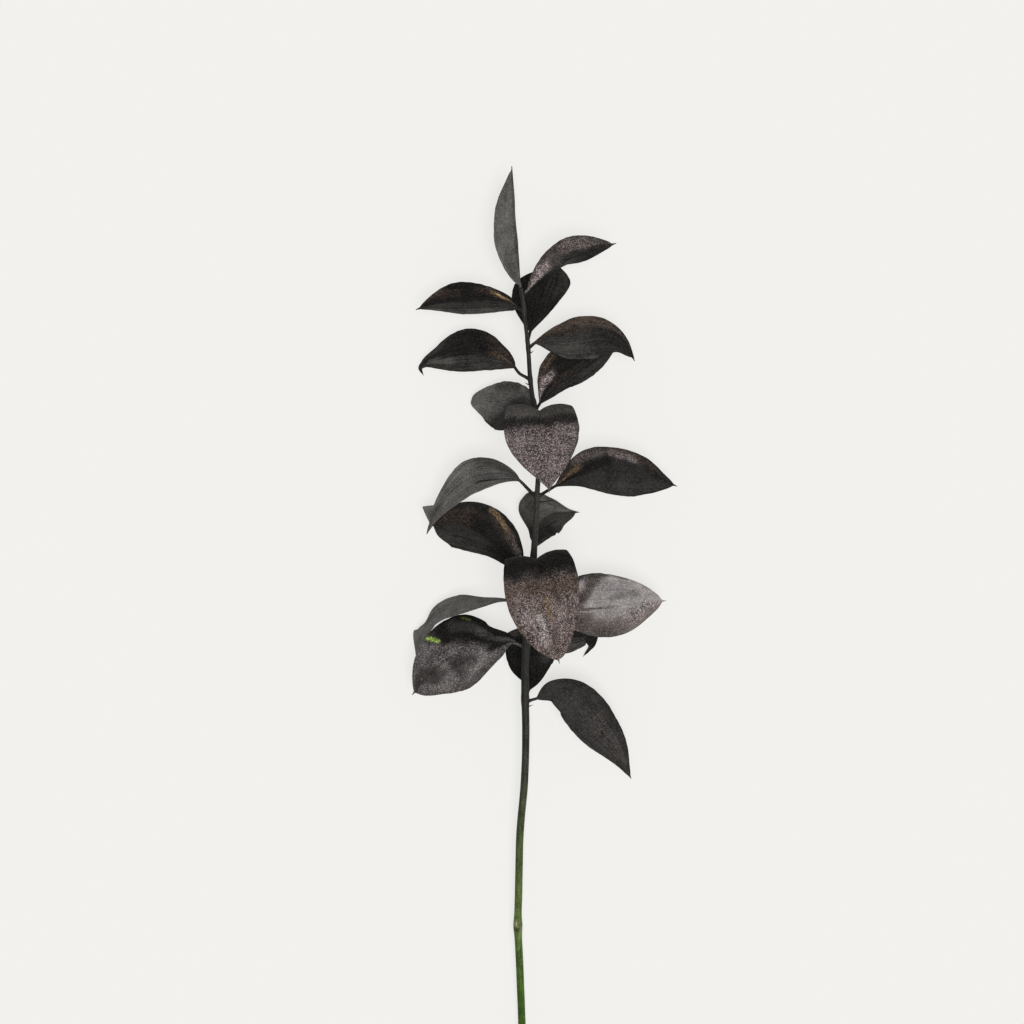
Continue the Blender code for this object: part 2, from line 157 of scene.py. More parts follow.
# Room, in metres. The floor gives off light of its own, which keeps it pale all over
FLOOR_HALF_SIZE = 3.0
FLOOR_COLOUR = (0.2, 0.197, 0.194, 1.0)
FLOOR_GLOW = (1.0, 0.993, 0.964, 1.0)
FLOOR_GLOW_STRENGTH = 0.68
FLOOR_ROUGHNESS = 0.9
FLOOR_SPECULAR = 0.1
CAMERA_PLACE = (-0.02032, 0.0816, 1.57)
CAMERA_LENS = 84.98
CAMERA_SENSOR = 36.0
CAMERA_CLIPS = (0.01, 20.0)

# Light. The sun stands almost over the camera, so that shadows hide behind the leaves
SKY_COLOUR = (1.0, 0.995, 0.985, 1.0)
SKY_STRENGTH = 0.35
SUN_STRENGTH = 2.17
SUN_WIDTH = 24.0
SUN_FROM = (0.12, -0.22, 1.6)

# Points along the middle of the stalk, from the cut end up to the tip: x, y, z, radius
STEM_POINTS = [
    (-12.0, -303.0, 2.5, 2.45), (-13.0, -279.5, 5.5, 2.45), (-14.0, -246.5, 9.0, 2.4),
    (-15.5, -207.0, 13.0, 2.4), (-16.5, -184.5, 15.0, 2.4), (-16.0, -161.0, 17.5, 2.4),
    (-15.0, -122.0, 21.0, 2.4), (-12.5, -93.0, 23.8, 2.4), (-11.5, -60.0, 26.3, 2.35),
    (-12.0, -32.0, 28.0, 2.5), (-11.5, -6.5, 29.5, 2.45), (-9.0, 25.5, 31.5, 2.3),
    (-6.5, 54.5, 33.0, 2.1), (-4.5, 89.0, 34.5, 1.7), (-3.5, 114.5, 35.5, 1.5),
    (-5.2, 140.0, 36.5, 1.45), (-8.7, 165.5, 37.3, 1.4), (-10.2, 187.5, 38.0, 1.3),
    (-12.1, 203.5, 38.3, 1.2), (-13.3, 216.0, 38.5, 1.2), (-14.8, 223.0, 38.5, 1.15),
]

# One leaf. node: height of its cushion on the stalk. spine: points along the midrib,
# outwards. face: where the upper side looks, at even steps from base to tip.
# half: flat half-widths, left and right of the midrib as the face is looked at.
# fold: degrees each half rises towards the face, at even steps. curl: extra degrees
# each half gains from midrib to edge, at even steps. belly: where along the blade each
# half is widest. taper: how sharply each half narrows to the tip. shoulder: the same at
# the base. stalk: length of the leaf's own stalk. wave: height of the edge's waves.
# bract: how far the scale below the leaf stands out. bumps: corners and waists of the
# edge, each on side 0 or 1, at a share of the blade, with its height and half its length.
Leaf = namedtuple(
    "Leaf",
    "name node spine face half fold curl belly taper shoulder stalk wave bract bumps",
    defaults=[[(0, 0)], (0.42, 0.42), (1.0, 1.0), (0.85, 0.85), 5.0, 0.35, 2.5, ()],
)

LEAVES = [
    Leaf("leaf_01", 223.0,
         [(-15.5, 231.5, 39.5), (-16.5, 246, 40.5), (-18.5, 269, 40.5), (-20.5, 301, 36)],
         face=[(0.71, 0, 0.7)], half=(14.4, 14.0), fold=[-44, -44, -40],
         belly=(0.45, 0.45), taper=(0.9, 1.0), shoulder=(0.65, 0.65), stalk=2.0),
    Leaf("leaf_02", 218.5,
         [(-3.5, 228, 43), (10.5, 238.5, 46), (27, 245.5, 46), (45.5, 251.5, 42)],
         face=[(0.35, -0.6, 0.71), (0.35, -0.55, 0.74), (0.1, -0.3, 0.94)],
         half=(13.0, 13.8), fold=[-45, -42, -25], belly=(0.58, 0.4), taper=(0.85, 0.95),
         shoulder=(0.9, 1.0), stalk=3.0),
    Leaf("leaf_03", 190.0,
         [(-7.5, 201, 29), (-3, 217.5, 19), (2.5, 232.5, 9), (8, 246, 0.35)],
         face=[(0, 0.45, 0.9)], half=(18.3, 16.6), fold=[12, 12, 8], curl=[(8, 8)],
         belly=(0.45, 0.7), taper=(1.3, 1.0), shoulder=(0.9, 1.1), stalk=6.0),
    Leaf("leaf_04", 209.0,
         [(-22.5, 213.5, 39), (-34.5, 214.7, 39.5), (-47, 214.8, 39), (-61, 214.5, 37),
          (-72.5, 213, 33.5), (-81.5, 210.5, 31)],
         face=[(0, -0.32, 0.95)], half=(12.6, 13.6), fold=[-38, -38.5, -30],
         belly=(0.5, 0.56), taper=(0.95, 1.0), shoulder=(0.45, 0.85), stalk=3.0),
    Leaf("leaf_05", 165.5,
         [(-15, 169, 36), (-20.5, 175.5, 34), (-34.3, 180.2, 32), (-52.2, 181.5, 26),
          (-66.6, 179.7, 15), (-77.2, 177, 7), (-79.6, 174.9, 4), (-77.9, 170.4, 0.35)],
         face=[(0, 0.1, 1)], half=(10.4, 18.4), fold=[-12, -12, -6],
         belly=(0.45, 0.43), taper=(1.4, 1.5), shoulder=(0.6, 1.0), stalk=11.0),
    Leaf("leaf_06", 185.5,
         [(-3.6, 190, 42), (5.6, 192.7, 44), (15, 194.2, 45), (24.5, 196.4, 45.5),
          (35.2, 197.4, 44.5), (45.4, 194.4, 42), (52.2, 188.7, 38), (57.6, 177.7, 32)],
         face=[(0, 0.35, 0.94)], half=(17.4, 19.4), fold=[-35, -35.5, -28],
         belly=(0.38, 0.5), taper=(1.9, 0.75), shoulder=(1.3, 0.7), stalk=4.0),
    Leaf("leaf_07", 145.5,
         [(0.5, 155.5, 30), (9, 168, 25), (21.5, 178, 19), (37, 186.5, 9), (51, 193, 0.35)],
         face=[(0, 0.1, 1)], half=(15.0, 13.6), fold=[10, 10, 8],
         belly=(0.4, 0.5), taper=(1.0, 0.9), shoulder=(1.0, 1.0)),
    Leaf("leaf_08", 137.0,
         [(-11, 144.5, 29), (-21, 149.5, 23), (-34, 152.5, 16), (-45, 153.5, 10),
          (-47, 153, 1.5)],
         face=[(-0.1, 0.2, 0.97), (-0.1, 0.2, 0.97), (-0.1, 0.2, 0.97), (-1, 0.2, 0.4)],
         half=(18.5, 15.5), fold=[10, 8, 5], belly=(0.35, 0.33), taper=(1.3, 1.1),
         shoulder=(0.7, 0.5)),
    Leaf("leaf_09", 128.0,
         [(-3.5, 136.5, 46), (-3.5, 143.5, 62), (-3, 144, 71), (-2, 134.5, 77), (0, 117, 77),
          (2.8, 93.5, 69.5)],
         face=[(0, 0.8, -0.6), (0, 1, 0.1), (0, 0.7, 0.7), (0, 0.1, 1), (0, -0.1, 1)],
         half=(23.3, 24.3), fold=[15, 36, 20, 10],
         curl=[(0, 0), (-66, -66), (-25, -25), (-5, -5)],
         belly=(0.54, 0.54), taper=(1.0, 1.15), shoulder=(1.05, 1.05)),
    Leaf("leaf_10", 91.0,
         [(8, 98.5, 36), (23, 105.5, 38), (42, 108, 38), (61, 106.5, 35), (74, 102, 31),
          (85, 98, 27)],
         face=[(0, 0.25, 0.97)], half=(16.6, 16.5), fold=[-6, -8, -6],
         belly=(0.37, 0.6), taper=(0.9, 0.9), shoulder=(1.1, 1.1), stalk=11.0, bract=9.0),
    Leaf("leaf_11", 90.0,
         [(-11, 97, 37), (-17, 102.5, 40), (-31, 106, 44), (-45, 103.5, 45), (-57, 95.5, 40),
          (-68, 83.5, 29), (-75, 67.5, 19)],
         face=[(0, 0.8, 0.6), (-0.2, 0.6, 0.75), (-0.4, 0.3, 0.85)],
         half=(15.5, 13.5), fold=[10, 10, 8], belly=(0.38, 0.33), taper=(1.2, 1.85),
         stalk=14.0, bumps=[(1, 0.865, 8.5, 0.07)]),
    Leaf("leaf_12", 32.0,
         [(-15, 41.5, 28), (-21.5, 53, 26), (-30, 62.5, 23), (-41, 69.5, 19), (-57, 75, 13),
          (-73.5, 72.5, 7)],
         face=[(0, 0.1, 1)], half=(16.7, 17.5), fold=[8, 8, 6],
         belly=(0.74, 0.55), taper=(0.45, 0.8), shoulder=(1.1, 1.1)),
    Leaf("leaf_13", 27.0,
         [(-6.5, 38.5, 44), (-6, 48, 58), (-5, 52, 69), (-2.5, 42.5, 77), (0, 24, 78),
          (4, 4.5, 75), (9.2, -12.5, 67)],
         face=[(0, 0.8, -0.6), (-0.12, 1, 0.1), (0, 0.5, 0.85), (0, 0.1, 1), (0, -0.1, 1)],
         half=(22.9, 24.5), fold=[15, 34, 20, 10],
         curl=[(0, 0), (-60, -60), (-25, -25), (-5, -5)],
         belly=(0.5, 0.53), taper=(0.65, 0.8), shoulder=(1.0, 1.1)),
    Leaf("leaf_14", 53.5,
         [(-6.5, 60.5, 25), (-5.8, 69, 18), (-1.2, 76.5, 12), (7.5, 81, 8), (23.5, 81.5, 4)],
         face=[(0, 0.3, 0.95)], half=(19.5, 14.5), fold=[8, 8, 6],
         belly=(0.55, 0.5), taper=(1.9, 0.7), shoulder=(3.0, 0.8),
         bumps=[(0, 0.75, -3.0, 0.22), (0, 0.3, -3.0, 0.16), (1, 0.2, 2.5, 0.2)]),
    Leaf("leaf_15", 10.0,
         [(2.5, 15.5, 31), (19.5, 20, 33), (42.5, 22, 34), (62, 24.5, 32), (78, 25, 28)],
         face=[(0, 0.05, 1)], half=(21.5, 19.8), fold=[8, 6, 5], curl=[(-8, -6)],
         belly=(0.45, 0.55), taper=(0.8, 0.75), shoulder=(1.1, 1.0)),
    Leaf("leaf_16", 22.0,
         [(-25, 25.5, 30.5), (-40.5, 24, 30), (-56.5, 21.5, 26.5), (-70, 14, 18),
          (-79, 0.5, 12), (-82.5, -11, 1.05)],
         face=[(0, 0.93, 0.36), (-0.2, 0.85, 0.45), (-0.6, 0.3, 0.7)],
         half=(14.0, 12.5), fold=[2, 2, 2], belly=(0.5, 0.5), taper=(1.0, 1.0),
         shoulder=(2.0, 2.0),
         bumps=[(0, 0.72, -4.5, 0.2), (1, 0.73, -5.0, 0.11), (1, 0.93, 8.0, 0.12)]),
    Leaf("leaf_17", -5.0,
         [(-20.5, -0.5, 33), (-31, -2.5, 38), (-47, -6.5, 42), (-60, -12, 42),
          (-71.5, -20.5, 37), (-84, -35, 29)],
         face=[(0, 0.15, 0.98)], half=(22.3, 27.0), fold=[-20, -20, -10],
         belly=(0.55, 0.42), taper=(0.55, 0.85), shoulder=(1.2, 1.15), stalk=4.0),
    Leaf("leaf_18", -37.0,
         [(-8, -28.5, 21), (-8, -16, 14), (-8, -2.5, 8), (-7.5, 10, 3)],
         face=[(0, 0.4, 0.9)], half=(16.5, 16.0), fold=[8, 8, 6],
         belly=(0.6, 0.6), taper=(0.5, 1.0), shoulder=(0.85, 1.2), stalk=2.5,
         bumps=[(0, 0.86, 4.0, 0.2)]),
    Leaf("leaf_19", 3.0,
         [(1, 3, 24), (11, 0.5, 19), (21, 1.5, 14), (29, 1, 10), (31, -4, 6.5),
          (25.8, -12.2, 2)],
         face=[(0, 0.1, 1)], half=(12.5, 10.0), fold=[8, 8, 6],
         belly=(0.5, 0.33), taper=(2.1, 1.5)),
    Leaf("leaf_20", -39.5,
         [(-5, -37.5, 28), (5, -33, 31), (15.5, -35.5, 32), (25.5, -44, 30), (34.5, -55, 25),
          (44.5, -68, 17), (57, -91.5, 0.35)],
         face=[(0, 0.1, 1)], half=(14.0, 15.0), fold=[-6, -8, -6],
         belly=(0.38, 0.42), taper=(1.0, 1.1)),
]

# Paint colours: linear red, green, blue, then how grainy the paint lies. The near-blacks are the
# paint's own colour and, in the strokes, also painted shade; the pale mauve, pink and pearl tones
# are painted sheen and highlights.
BLACK = (0.0075, 0.0069, 0.0064, 1.0)
COAL = (0.0110, 0.0102, 0.0094, 0.9)
CHARCOAL = (0.0190, 0.0175, 0.0160, 0.6)
SLATE = (0.0260, 0.0241, 0.0220, 0.5)
IRON = (0.0350, 0.0325, 0.0295, 0.4)
ASH = (0.0600, 0.0565, 0.0510, 0.35)
GREY = (0.0970, 0.0935, 0.0870, 0.35)
UMBER = (0.0300, 0.0210, 0.0165, 0.8)
BRONZE = (0.0620, 0.0430, 0.0310, 1.0)
OCHRE = (0.1500, 0.1020, 0.0580, 0.8)
GOLD = (0.4200, 0.2900, 0.1500, 0.5)
# The paint's mauve-grey tint, made paler here as painted sheen where a face turns to the light; the
# palest are painted highlights, and the silver is partly also worn paint along an edge
LILAC = (0.0620, 0.0530, 0.0510, 0.9)
SMOKE = (0.0840, 0.0745, 0.0730, 0.8)
MAUVE = (0.1180, 0.0960, 0.0940, 1.0)
ROSE = (0.1200, 0.0930, 0.0850, 1.0)
PINK_SHEEN = (0.2000, 0.1650, 0.1600, 1.0)
SILVER = (0.1850, 0.1680, 0.1620, 0.5)
PEARL_SHEEN = (0.2650, 0.2420, 0.2380, 0.3)
PAINTED_HIGHLIGHT = (0.3200, 0.3000, 0.2900, 0.6)
DUSK = (0.1500, 0.1250, 0.1150, 0.35)
LEAF_GREEN = (0.2300, 0.3300, 0.0700, 0.6)
DULL_GREEN = (0.0900, 0.1300, 0.0280, 0.4)

# How each leaf is painted, with painted light and shade laid in with the paint's own colour.
# left and right: the colour of each half; on folded blades the darker half is mostly painted
# shade of the half turned away from the light. veins: how strongly the lengthwise veins show
# on each half. strokes: from (t, q) to (t, q), radius, strength and colour, where t runs from
# base to tip and q from -1 at the left edge to 1 at the right edge. The radius is in
# half-widths. Bronze, gold, brown and green strokes are the paint's own patches; dark bands
# are painted shade where a blade rolls or folds away from the light, and pale mauve and pink
# strokes are painted sheen and highlights.
PaintAndShade = namedtuple("PaintAndShade", "left right veins strokes")

PAINT_AND_SHADE = {
    "leaf_01": PaintAndShade(GREY, IRON, (0.2, 0.3), [
        ((0.00, -0.50), (0.16, -0.50), 0.40, 0.6, IRON),
        ((0.20, -0.06), (0.90, -0.06), 0.10, 0.5, IRON),
        ((0.94, 0.00), (1.00, 0.00), 0.25, 0.8, CHARCOAL),
    ]),
    # leaf_02: the pale pink stroke by the base is painted sheen
    "leaf_02": PaintAndShade(LILAC, COAL, (0.3, 0.4), [
        ((0.12, -0.25), (0.28, -0.50), 0.34, 1.0, PINK_SHEEN),
        ((0.42, -0.30), (0.48, -0.40), 0.25, 0.6, SLATE),
        ((0.32, -0.80), (0.46, -0.85), 0.25, 0.7, UMBER),
        ((0.55, -0.62), (0.72, -0.60), 0.26, 0.6, ROSE),
        ((0.54, -0.02), (0.88, -0.06), 0.24, 0.9, BLACK),
        ((0.90, 0.00), (1.00, 0.00), 0.30, 0.7, UMBER),
    ]),
    "leaf_03": PaintAndShade(BLACK, COAL, (0.5, 1.0), [
        ((0.50, 0.30), (0.84, 0.55), 0.32, 0.7, CHARCOAL),
        ((0.62, 0.80), (0.84, 0.80), 0.14, 0.6, IRON),
        ((0.10, 0.05), (0.50, 0.05), 0.25, 0.6, BLACK),
    ]),
    # leaf_04: the black right half is painted shade of the half that folds away from the light, and
    # the pale line along the left edge is partly worn paint and partly painted highlight
    "leaf_04": PaintAndShade(SLATE, BLACK, (0.8, 0.4), [
        ((0.20, -0.85), (0.85, -0.85), 0.30, 0.8, ASH),
        ((0.08, 0.30), (0.38, 0.70), 0.22, 0.8, UMBER),
        ((0.14, 0.42), (0.26, 0.66), 0.15, 0.7, OCHRE),
        ((0.17, 0.48), (0.23, 0.62), 0.05, 0.8, GOLD),
        ((0.24, 0.80), (0.32, 0.90), 0.10, 0.5, BRONZE),
        ((0.62, 0.40), (0.90, 0.80), 0.26, 0.6, UMBER),
        ((0.74, 0.85), (0.90, 0.90), 0.12, 0.5, BRONZE),
        ((0.25, 0.10), (0.90, 0.10), 0.12, 0.8, BLACK),
        ((0.25, -1.00), (0.80, -1.00), 0.07, 0.6, SILVER),
        ((0.86, -0.30), (1.00, 0.00), 0.30, 0.6, UMBER),
    ]),
    # leaf_05: the darker right half and the black patch on it are painted shade of the half that
    # falls away from the light
    "leaf_05": PaintAndShade(SLATE, COAL, (0.9, 0.9), [
        ((0.14, 0.30), (0.32, 0.75), 0.30, 0.8, UMBER),
        ((0.18, 0.05), (0.30, 0.25), 0.16, 0.6, BRONZE),
        ((0.40, 0.45), (0.56, 0.60), 0.42, 0.9, BLACK),
        ((0.66, -0.25), (0.80, -0.10), 0.28, 0.7, ASH),
        ((0.70, 0.90), (0.86, 0.60), 0.16, 0.6, IRON),
        ((0.94, 0.00), (1.00, 0.00), 0.30, 0.9, COAL),
    ]),
    "leaf_06": PaintAndShade(BRONZE, CHARCOAL, (0.2, 0.6), [
        ((0.15, 0.55), (0.45, 0.80), 0.35, 0.6, IRON),
        ((0.10, -0.15), (0.55, -0.12), 0.14, 0.7, CHARCOAL),
        ((0.12, 0.50), (0.36, 0.50), 0.30, 0.3, ASH),
        ((0.76, -0.80), (0.92, -0.30), 0.30, 0.8, COAL),
        ((0.66, 0.05), (0.95, 0.15), 0.36, 0.8, COAL),
        ((0.20, 1.00), (0.60, 1.00), 0.06, 0.5, GREY),
    ]),
    # leaf_07: the pale pink stroke near the base on the left is painted sheen
    "leaf_07": PaintAndShade(COAL, CHARCOAL, (0.4, 0.9), [
        ((0.22, -0.90), (0.36, -0.90), 0.24, 0.7, BRONZE),
        ((0.12, -0.68), (0.29, -0.30), 0.22, 0.9, PINK_SHEEN),
        ((0.42, -0.20), (0.66, -0.30), 0.36, 0.9, BLACK),
        ((0.28, 0.15), (0.42, 0.30), 0.20, 0.6, UMBER),
        ((0.45, 0.85), (0.70, 0.70), 0.20, 0.6, IRON),
    ]),
    # leaf_08: the large dark stroke over the left half and the thinner one along the valley are
    # painted shade
    "leaf_08": PaintAndShade(GREY, GREY, (0.25, 0.25), [
        ((0.44, -1.00), (0.24, -0.30), 0.60, 0.9, CHARCOAL),
        ((0.40, 0.90), (0.54, 0.75), 0.28, 0.7, IRON),
        ((0.30, -0.50), (0.36, -0.95), 0.30, 0.6, IRON),
        ((0.22, 0.52), (0.40, -0.05), 0.20, 0.7, SLATE),
    ]),
    # leaf_09: the dark and grey bands across the blade up to t 0.5 are painted shade where it rolls
    # over away from the light, and its mauve halves are partly painted sheen of the face turned to
    # the light
    "leaf_09": PaintAndShade(MAUVE, MAUVE, (0.1, 0.1), [
        ((0.00, -1.00), (0.00, 1.00), 0.90, 1.0, IRON),
        ((0.34, -1.00), (0.34, 1.00), 0.62, 1.0, IRON),
        ((0.43, -1.00), (0.43, 1.00), 0.18, 0.5, ASH),
        ((0.505, -1.00), (0.505, 1.00), 0.125, 0.9, BLACK),
        ((0.55, -0.97), (0.78, -0.97), 0.10, 0.4, IRON),
        ((0.95, 0.00), (1.00, 0.00), 0.18, 0.6, IRON),
    ]),
    # leaf_10: the pink stroke at t 0.54 to 0.66 is a painted highlight, and the mauve stroke before
    # it painted sheen
    "leaf_10": PaintAndShade(CHARCOAL, CHARCOAL, (0.3, 0.4), [
        ((0.08, -0.50), (0.30, -0.75), 0.35, 0.6, UMBER),
        ((0.00, -1.00), (0.00, 1.00), 0.40, 0.8, BLACK),
        ((0.17, -0.20), (0.27, -0.36), 0.17, 0.7, OCHRE),
        ((0.33, -0.75), (0.42, -0.78), 0.22, 0.55, MAUVE),
        ((0.54, -0.74), (0.66, -0.62), 0.17, 0.6, PINK_SHEEN),
        ((0.56, -0.95), (0.80, -0.60), 0.20, 0.4, BRONZE),
        ((0.15, 0.10), (0.47, -0.32), 0.20, 0.9, BLACK),
        ((0.80, -0.30), (0.96, 0.00), 0.26, 0.6, COAL),
        ((0.60, 0.60), (0.85, 0.50), 0.30, 0.5, IRON),
    ]),
    "leaf_11": PaintAndShade(GREY, GREY, (0.6, 0.6), [
        ((0.00, -1.00), (0.00, 1.00), 0.55, 0.9, BLACK),
        ((0.12, 0.30), (0.32, 0.70), 0.34, 0.7, IRON),
        ((0.14, -0.82), (0.42, -0.44), 0.07, 0.9, COAL),
        ((0.84, 0.00), (1.00, 0.00), 0.45, 0.6, IRON),
        ((0.96, 0.00), (1.00, 0.00), 0.20, 0.8, COAL),
    ]),
    # leaf_12: the rose stroke near the base on the right is painted sheen
    "leaf_12": PaintAndShade(CHARCOAL, COAL, (0.8, 0.4), [
        ((0.70, 0.35), (0.90, 0.40), 0.40, 0.8, UMBER),
        ((0.30, -0.10), (0.60, 0.15), 0.28, 0.9, BLACK),
        ((0.20, -0.50), (0.36, -0.55), 0.30, 0.9, BLACK),
        ((0.18, 0.62), (0.33, 0.52), 0.20, 0.9, ROSE),
        ((0.34, 0.40), (0.50, 0.65), 0.20, 0.7, UMBER),
        ((0.41, 0.64), (0.55, 0.88), 0.10, 0.9, OCHRE),
        ((0.60, -0.85), (0.90, -0.72), 0.28, 0.6, IRON),
        ((0.96, 0.30), (1.00, 0.10), 0.20, 0.7, COAL),
    ]),
    # leaf_13: the black bands up to t 0.5 are painted shade where the blade rolls over away from the
    # light; its rose halves and the pink strokes are painted sheen, and the small pale stroke at t
    # 0.72 to 0.79 is a painted highlight
    "leaf_13": PaintAndShade(ROSE, ROSE, (0.1, 0.1), [
        ((0.00, -1.00), (0.00, 1.00), 0.70, 1.0, IRON),
        ((0.28, -1.00), (0.28, 1.00), 0.50, 1.0, BLACK),
        ((0.43, -1.00), (0.43, 1.00), 0.30, 1.0, BLACK),
        ((0.55, -0.90), (0.55, 0.90), 0.13, 0.8, BRONZE),
        ((0.60, 0.95), (0.75, 0.95), 0.16, 0.5, BRONZE),
        ((0.58, -0.30), (0.70, -0.66), 0.10, 0.8, UMBER),
        ((0.62, -0.10), (0.70, -0.08), 0.08, 0.8, OCHRE),
        ((0.72, 0.22), (0.79, 0.18), 0.11, 0.9, PAINTED_HIGHLIGHT),
        ((0.70, 0.60), (0.88, 0.30), 0.26, 0.6, PINK_SHEEN),
        ((0.66, -0.55), (0.80, -0.45), 0.16, 0.5, PINK_SHEEN),
        ((0.80, -0.30), (0.86, -0.10), 0.12, 0.4, UMBER),
        ((0.94, 0.00), (1.00, 0.10), 0.18, 0.5, BRONZE),
    ]),
    "leaf_14": PaintAndShade(ASH, IRON, (0.4, 0.5), [
        ((0.12, 0.10), (0.42, 0.60), 0.42, 0.85, COAL),
        ((0.15, -0.40), (0.35, -0.80), 0.40, 0.8, CHARCOAL),
        ((0.62, -0.55), (0.80, -0.35), 0.30, 0.6, GREY),
        ((0.94, 0.00), (1.00, 0.00), 0.24, 0.7, COAL),
    ]),
    # leaf_15: its pale halves and the pale and pink strokes are painted sheen of a blade turned to
    # the light; the thin pale line at t 0.36 to 0.46 is a painted highlight along a ridge, and the
    # thin dark line beside it painted shade
    "leaf_15": PaintAndShade(PEARL_SHEEN, DUSK, (0.2, 0.25), [
        ((0.20, -0.90), (0.20, 0.90), 0.40, 0.9, UMBER),
        ((0.34, -0.12), (0.48, -0.82), 0.17, 0.85, UMBER),
        ((0.27, 0.50), (0.52, 0.75), 0.32, 0.6, UMBER),
        ((0.56, 0.15), (0.92, 0.15), 0.34, 0.9, PEARL_SHEEN),
        ((0.78, 0.55), (0.95, 0.10), 0.30, 0.7, PINK_SHEEN),
        ((0.36, 0.10), (0.54, 0.03), 0.030, 0.8, COAL),
        ((0.36, 0.17), (0.46, 0.12), 0.028, 0.8, PAINTED_HIGHLIGHT),
        ((0.60, -0.24), (0.76, -0.40), 0.13, 0.7, GREY),
        ((0.40, -1.00), (0.55, -1.00), 0.17, 0.9, CHARCOAL),
        ((0.55, -1.00), (0.72, -1.00), 0.07, 0.7, IRON),
        ((0.36, 1.00), (0.62, 1.00), 0.12, 0.6, IRON),
    ]),
    "leaf_16": PaintAndShade(GREY, GREY, (0.5, 0.5), [
        ((0.66, 0.30), (0.72, 0.60), 0.15, 0.6, IRON),
        ((0.92, 0.00), (1.00, 0.00), 0.40, 0.5, IRON),
        ((0.00, 0.00), (0.12, 0.00), 0.30, 0.5, IRON),
    ]),
    # leaf_17: the black strokes, mostly over the right half, are painted shade where it folds away
    # from the light, and the silver strokes and smoky halves are partly painted sheen
    "leaf_17": PaintAndShade(SMOKE, SMOKE, (0.3, 0.4), [
        ((0.28, -0.32), (0.42, -0.40), 0.22, 0.6, SILVER),
        ((0.66, -0.60), (0.78, -0.60), 0.24, 0.4, SILVER),
        ((0.52, 0.12), (0.66, 0.06), 0.16, 0.4, SILVER),
        ((0.76, -0.10), (0.90, 0.35), 0.34, 0.8, CHARCOAL),
        ((0.45, -0.28), (0.56, -0.22), 0.25, 0.8, CHARCOAL),
        ((0.20, -0.85), (0.60, -0.98), 0.18, 0.5, IRON),
        ((0.04, 0.65), (0.30, 0.85), 0.50, 1.0, BLACK),
        ((0.25, 0.62), (0.56, 0.98), 0.42, 1.0, BLACK),
        ((0.16, 0.15), (0.54, 0.64), 0.24, 1.0, BLACK),
        ((0.04, -0.20), (0.25, -0.12), 0.20, 1.0, BLACK),
        ((0.48, 0.80), (0.28, 0.50), 0.14, 0.8, IRON),
        ((0.29, 0.50), (0.08, 0.05), 0.16, 0.9, ASH),
        ((0.600, 0.60), (0.665, 0.95), 0.042, 0.9, LEAF_GREEN),
        ((0.345, 0.84), (0.385, 0.91), 0.032, 0.7, DULL_GREEN),
        ((0.850, 0.17), (0.853, 0.17), 0.020, 0.9, LEAF_GREEN),
        ((0.680, -0.08), (0.683, -0.08), 0.016, 0.9, LEAF_GREEN),
        ((0.96, 0.00), (1.00, 0.00), 0.20, 0.7, COAL),
    ]),
    "leaf_18": PaintAndShade(BLACK, COAL, (0.4, 0.5), [
        ((0.82, -1.00), (0.88, -0.50), 0.30, 0.95, ASH),
        ((0.50, 0.62), (0.76, 0.55), 0.26, 0.8, IRON),
    ]),
    "leaf_19": PaintAndShade(COAL, IRON, (0.4, 0.8), [
        ((0.30, 0.60), (0.55, 0.85), 0.36, 0.7, ASH),
        ((0.76, -1.00), (0.76, 1.00), 0.30, 1.0, BLACK),
        ((0.95, 0.00), (1.00, 0.00), 0.40, 1.0, BLACK),
    ]),
    # leaf_20: the lilac stroke down the middle is painted sheen
    "leaf_20": PaintAndShade(SLATE, SLATE, (0.5, 0.4), [
        ((0.54, 0.00), (0.92, 0.00), 0.50, 0.4, LILAC),
        ((0.26, -0.90), (0.70, -0.98), 0.20, 0.4, COAL),
        ((0.43, 1.00), (0.44, 1.00), 0.04, 1.0, BLACK),
    ]),
}

# Down the stalk: height along +Y in millimetres, then linear red, green and blue
STALK_PAINT = [
    (-310.0, (0.036, 0.080, 0.008)), (-233.0, (0.038, 0.080, 0.008)),
    (-195.0, (0.072, 0.125, 0.027)), (-167.0, (0.074, 0.106, 0.028)),
    (-135.0, (0.053, 0.076, 0.022)), (-105.0, (0.042, 0.048, 0.025)),
    (-77.0, (0.031, 0.033, 0.025)), (-35.0, (0.017, 0.017, 0.016)),
    (80.0, (0.032, 0.030, 0.025)), (165.0, (0.016, 0.015, 0.014)),
    (230.0, (0.030, 0.029, 0.026)),
]
GREEN_BELOW = -130.0      # under this height the stalk was left unpainted
PAINTED_ABOVE = -95.0
STALK_GRAIN = 0.35
SCAR_BEIGE = (0.42, 0.36, 0.21)
PITH = (0.40, 0.38, 0.20, 0.6)
DRIFT = 9.0               # how far a colour wanders along the stalk
DRIFT_ROUND = 1.5
DRIFT_PER_MM = 0.035
# Painted light and shade across the stalk, as if it were lit from the right:
PAINTED_SIDE_LIGHT = 0.22         # the right side is lighter by this share, the left darker
PAINTED_SIDE_LIGHT_ON_BLACK = 0.13 # and by this share more where the stalk is painted

# Bare skin by the old leaf scar: millimetres above the sheath, length along the stalk,
# place and width round it, from -1 on the left to 1 on the right, and how bare it is
Bare = namedtuple("Bare", "above length side width strength")
SCAR = Bare(1.5, 2.2, -0.35, 0.4, 1.0)
STRIP = Bare(-3.0, 3.5, 0.75, 0.3, 0.7)

# Painted shade: a dark line just under the old leaf scar, fainter on the right
SCAR_SHADE_BELOW = 1.6
SCAR_SHADE_LENGTH = 0.9
SCAR_SHADE_DEPTH = 0.7
SCAR_SHADE_FAINT_FROM = 0.3
SCAR_SHADE_FAINTNESS = 0.3


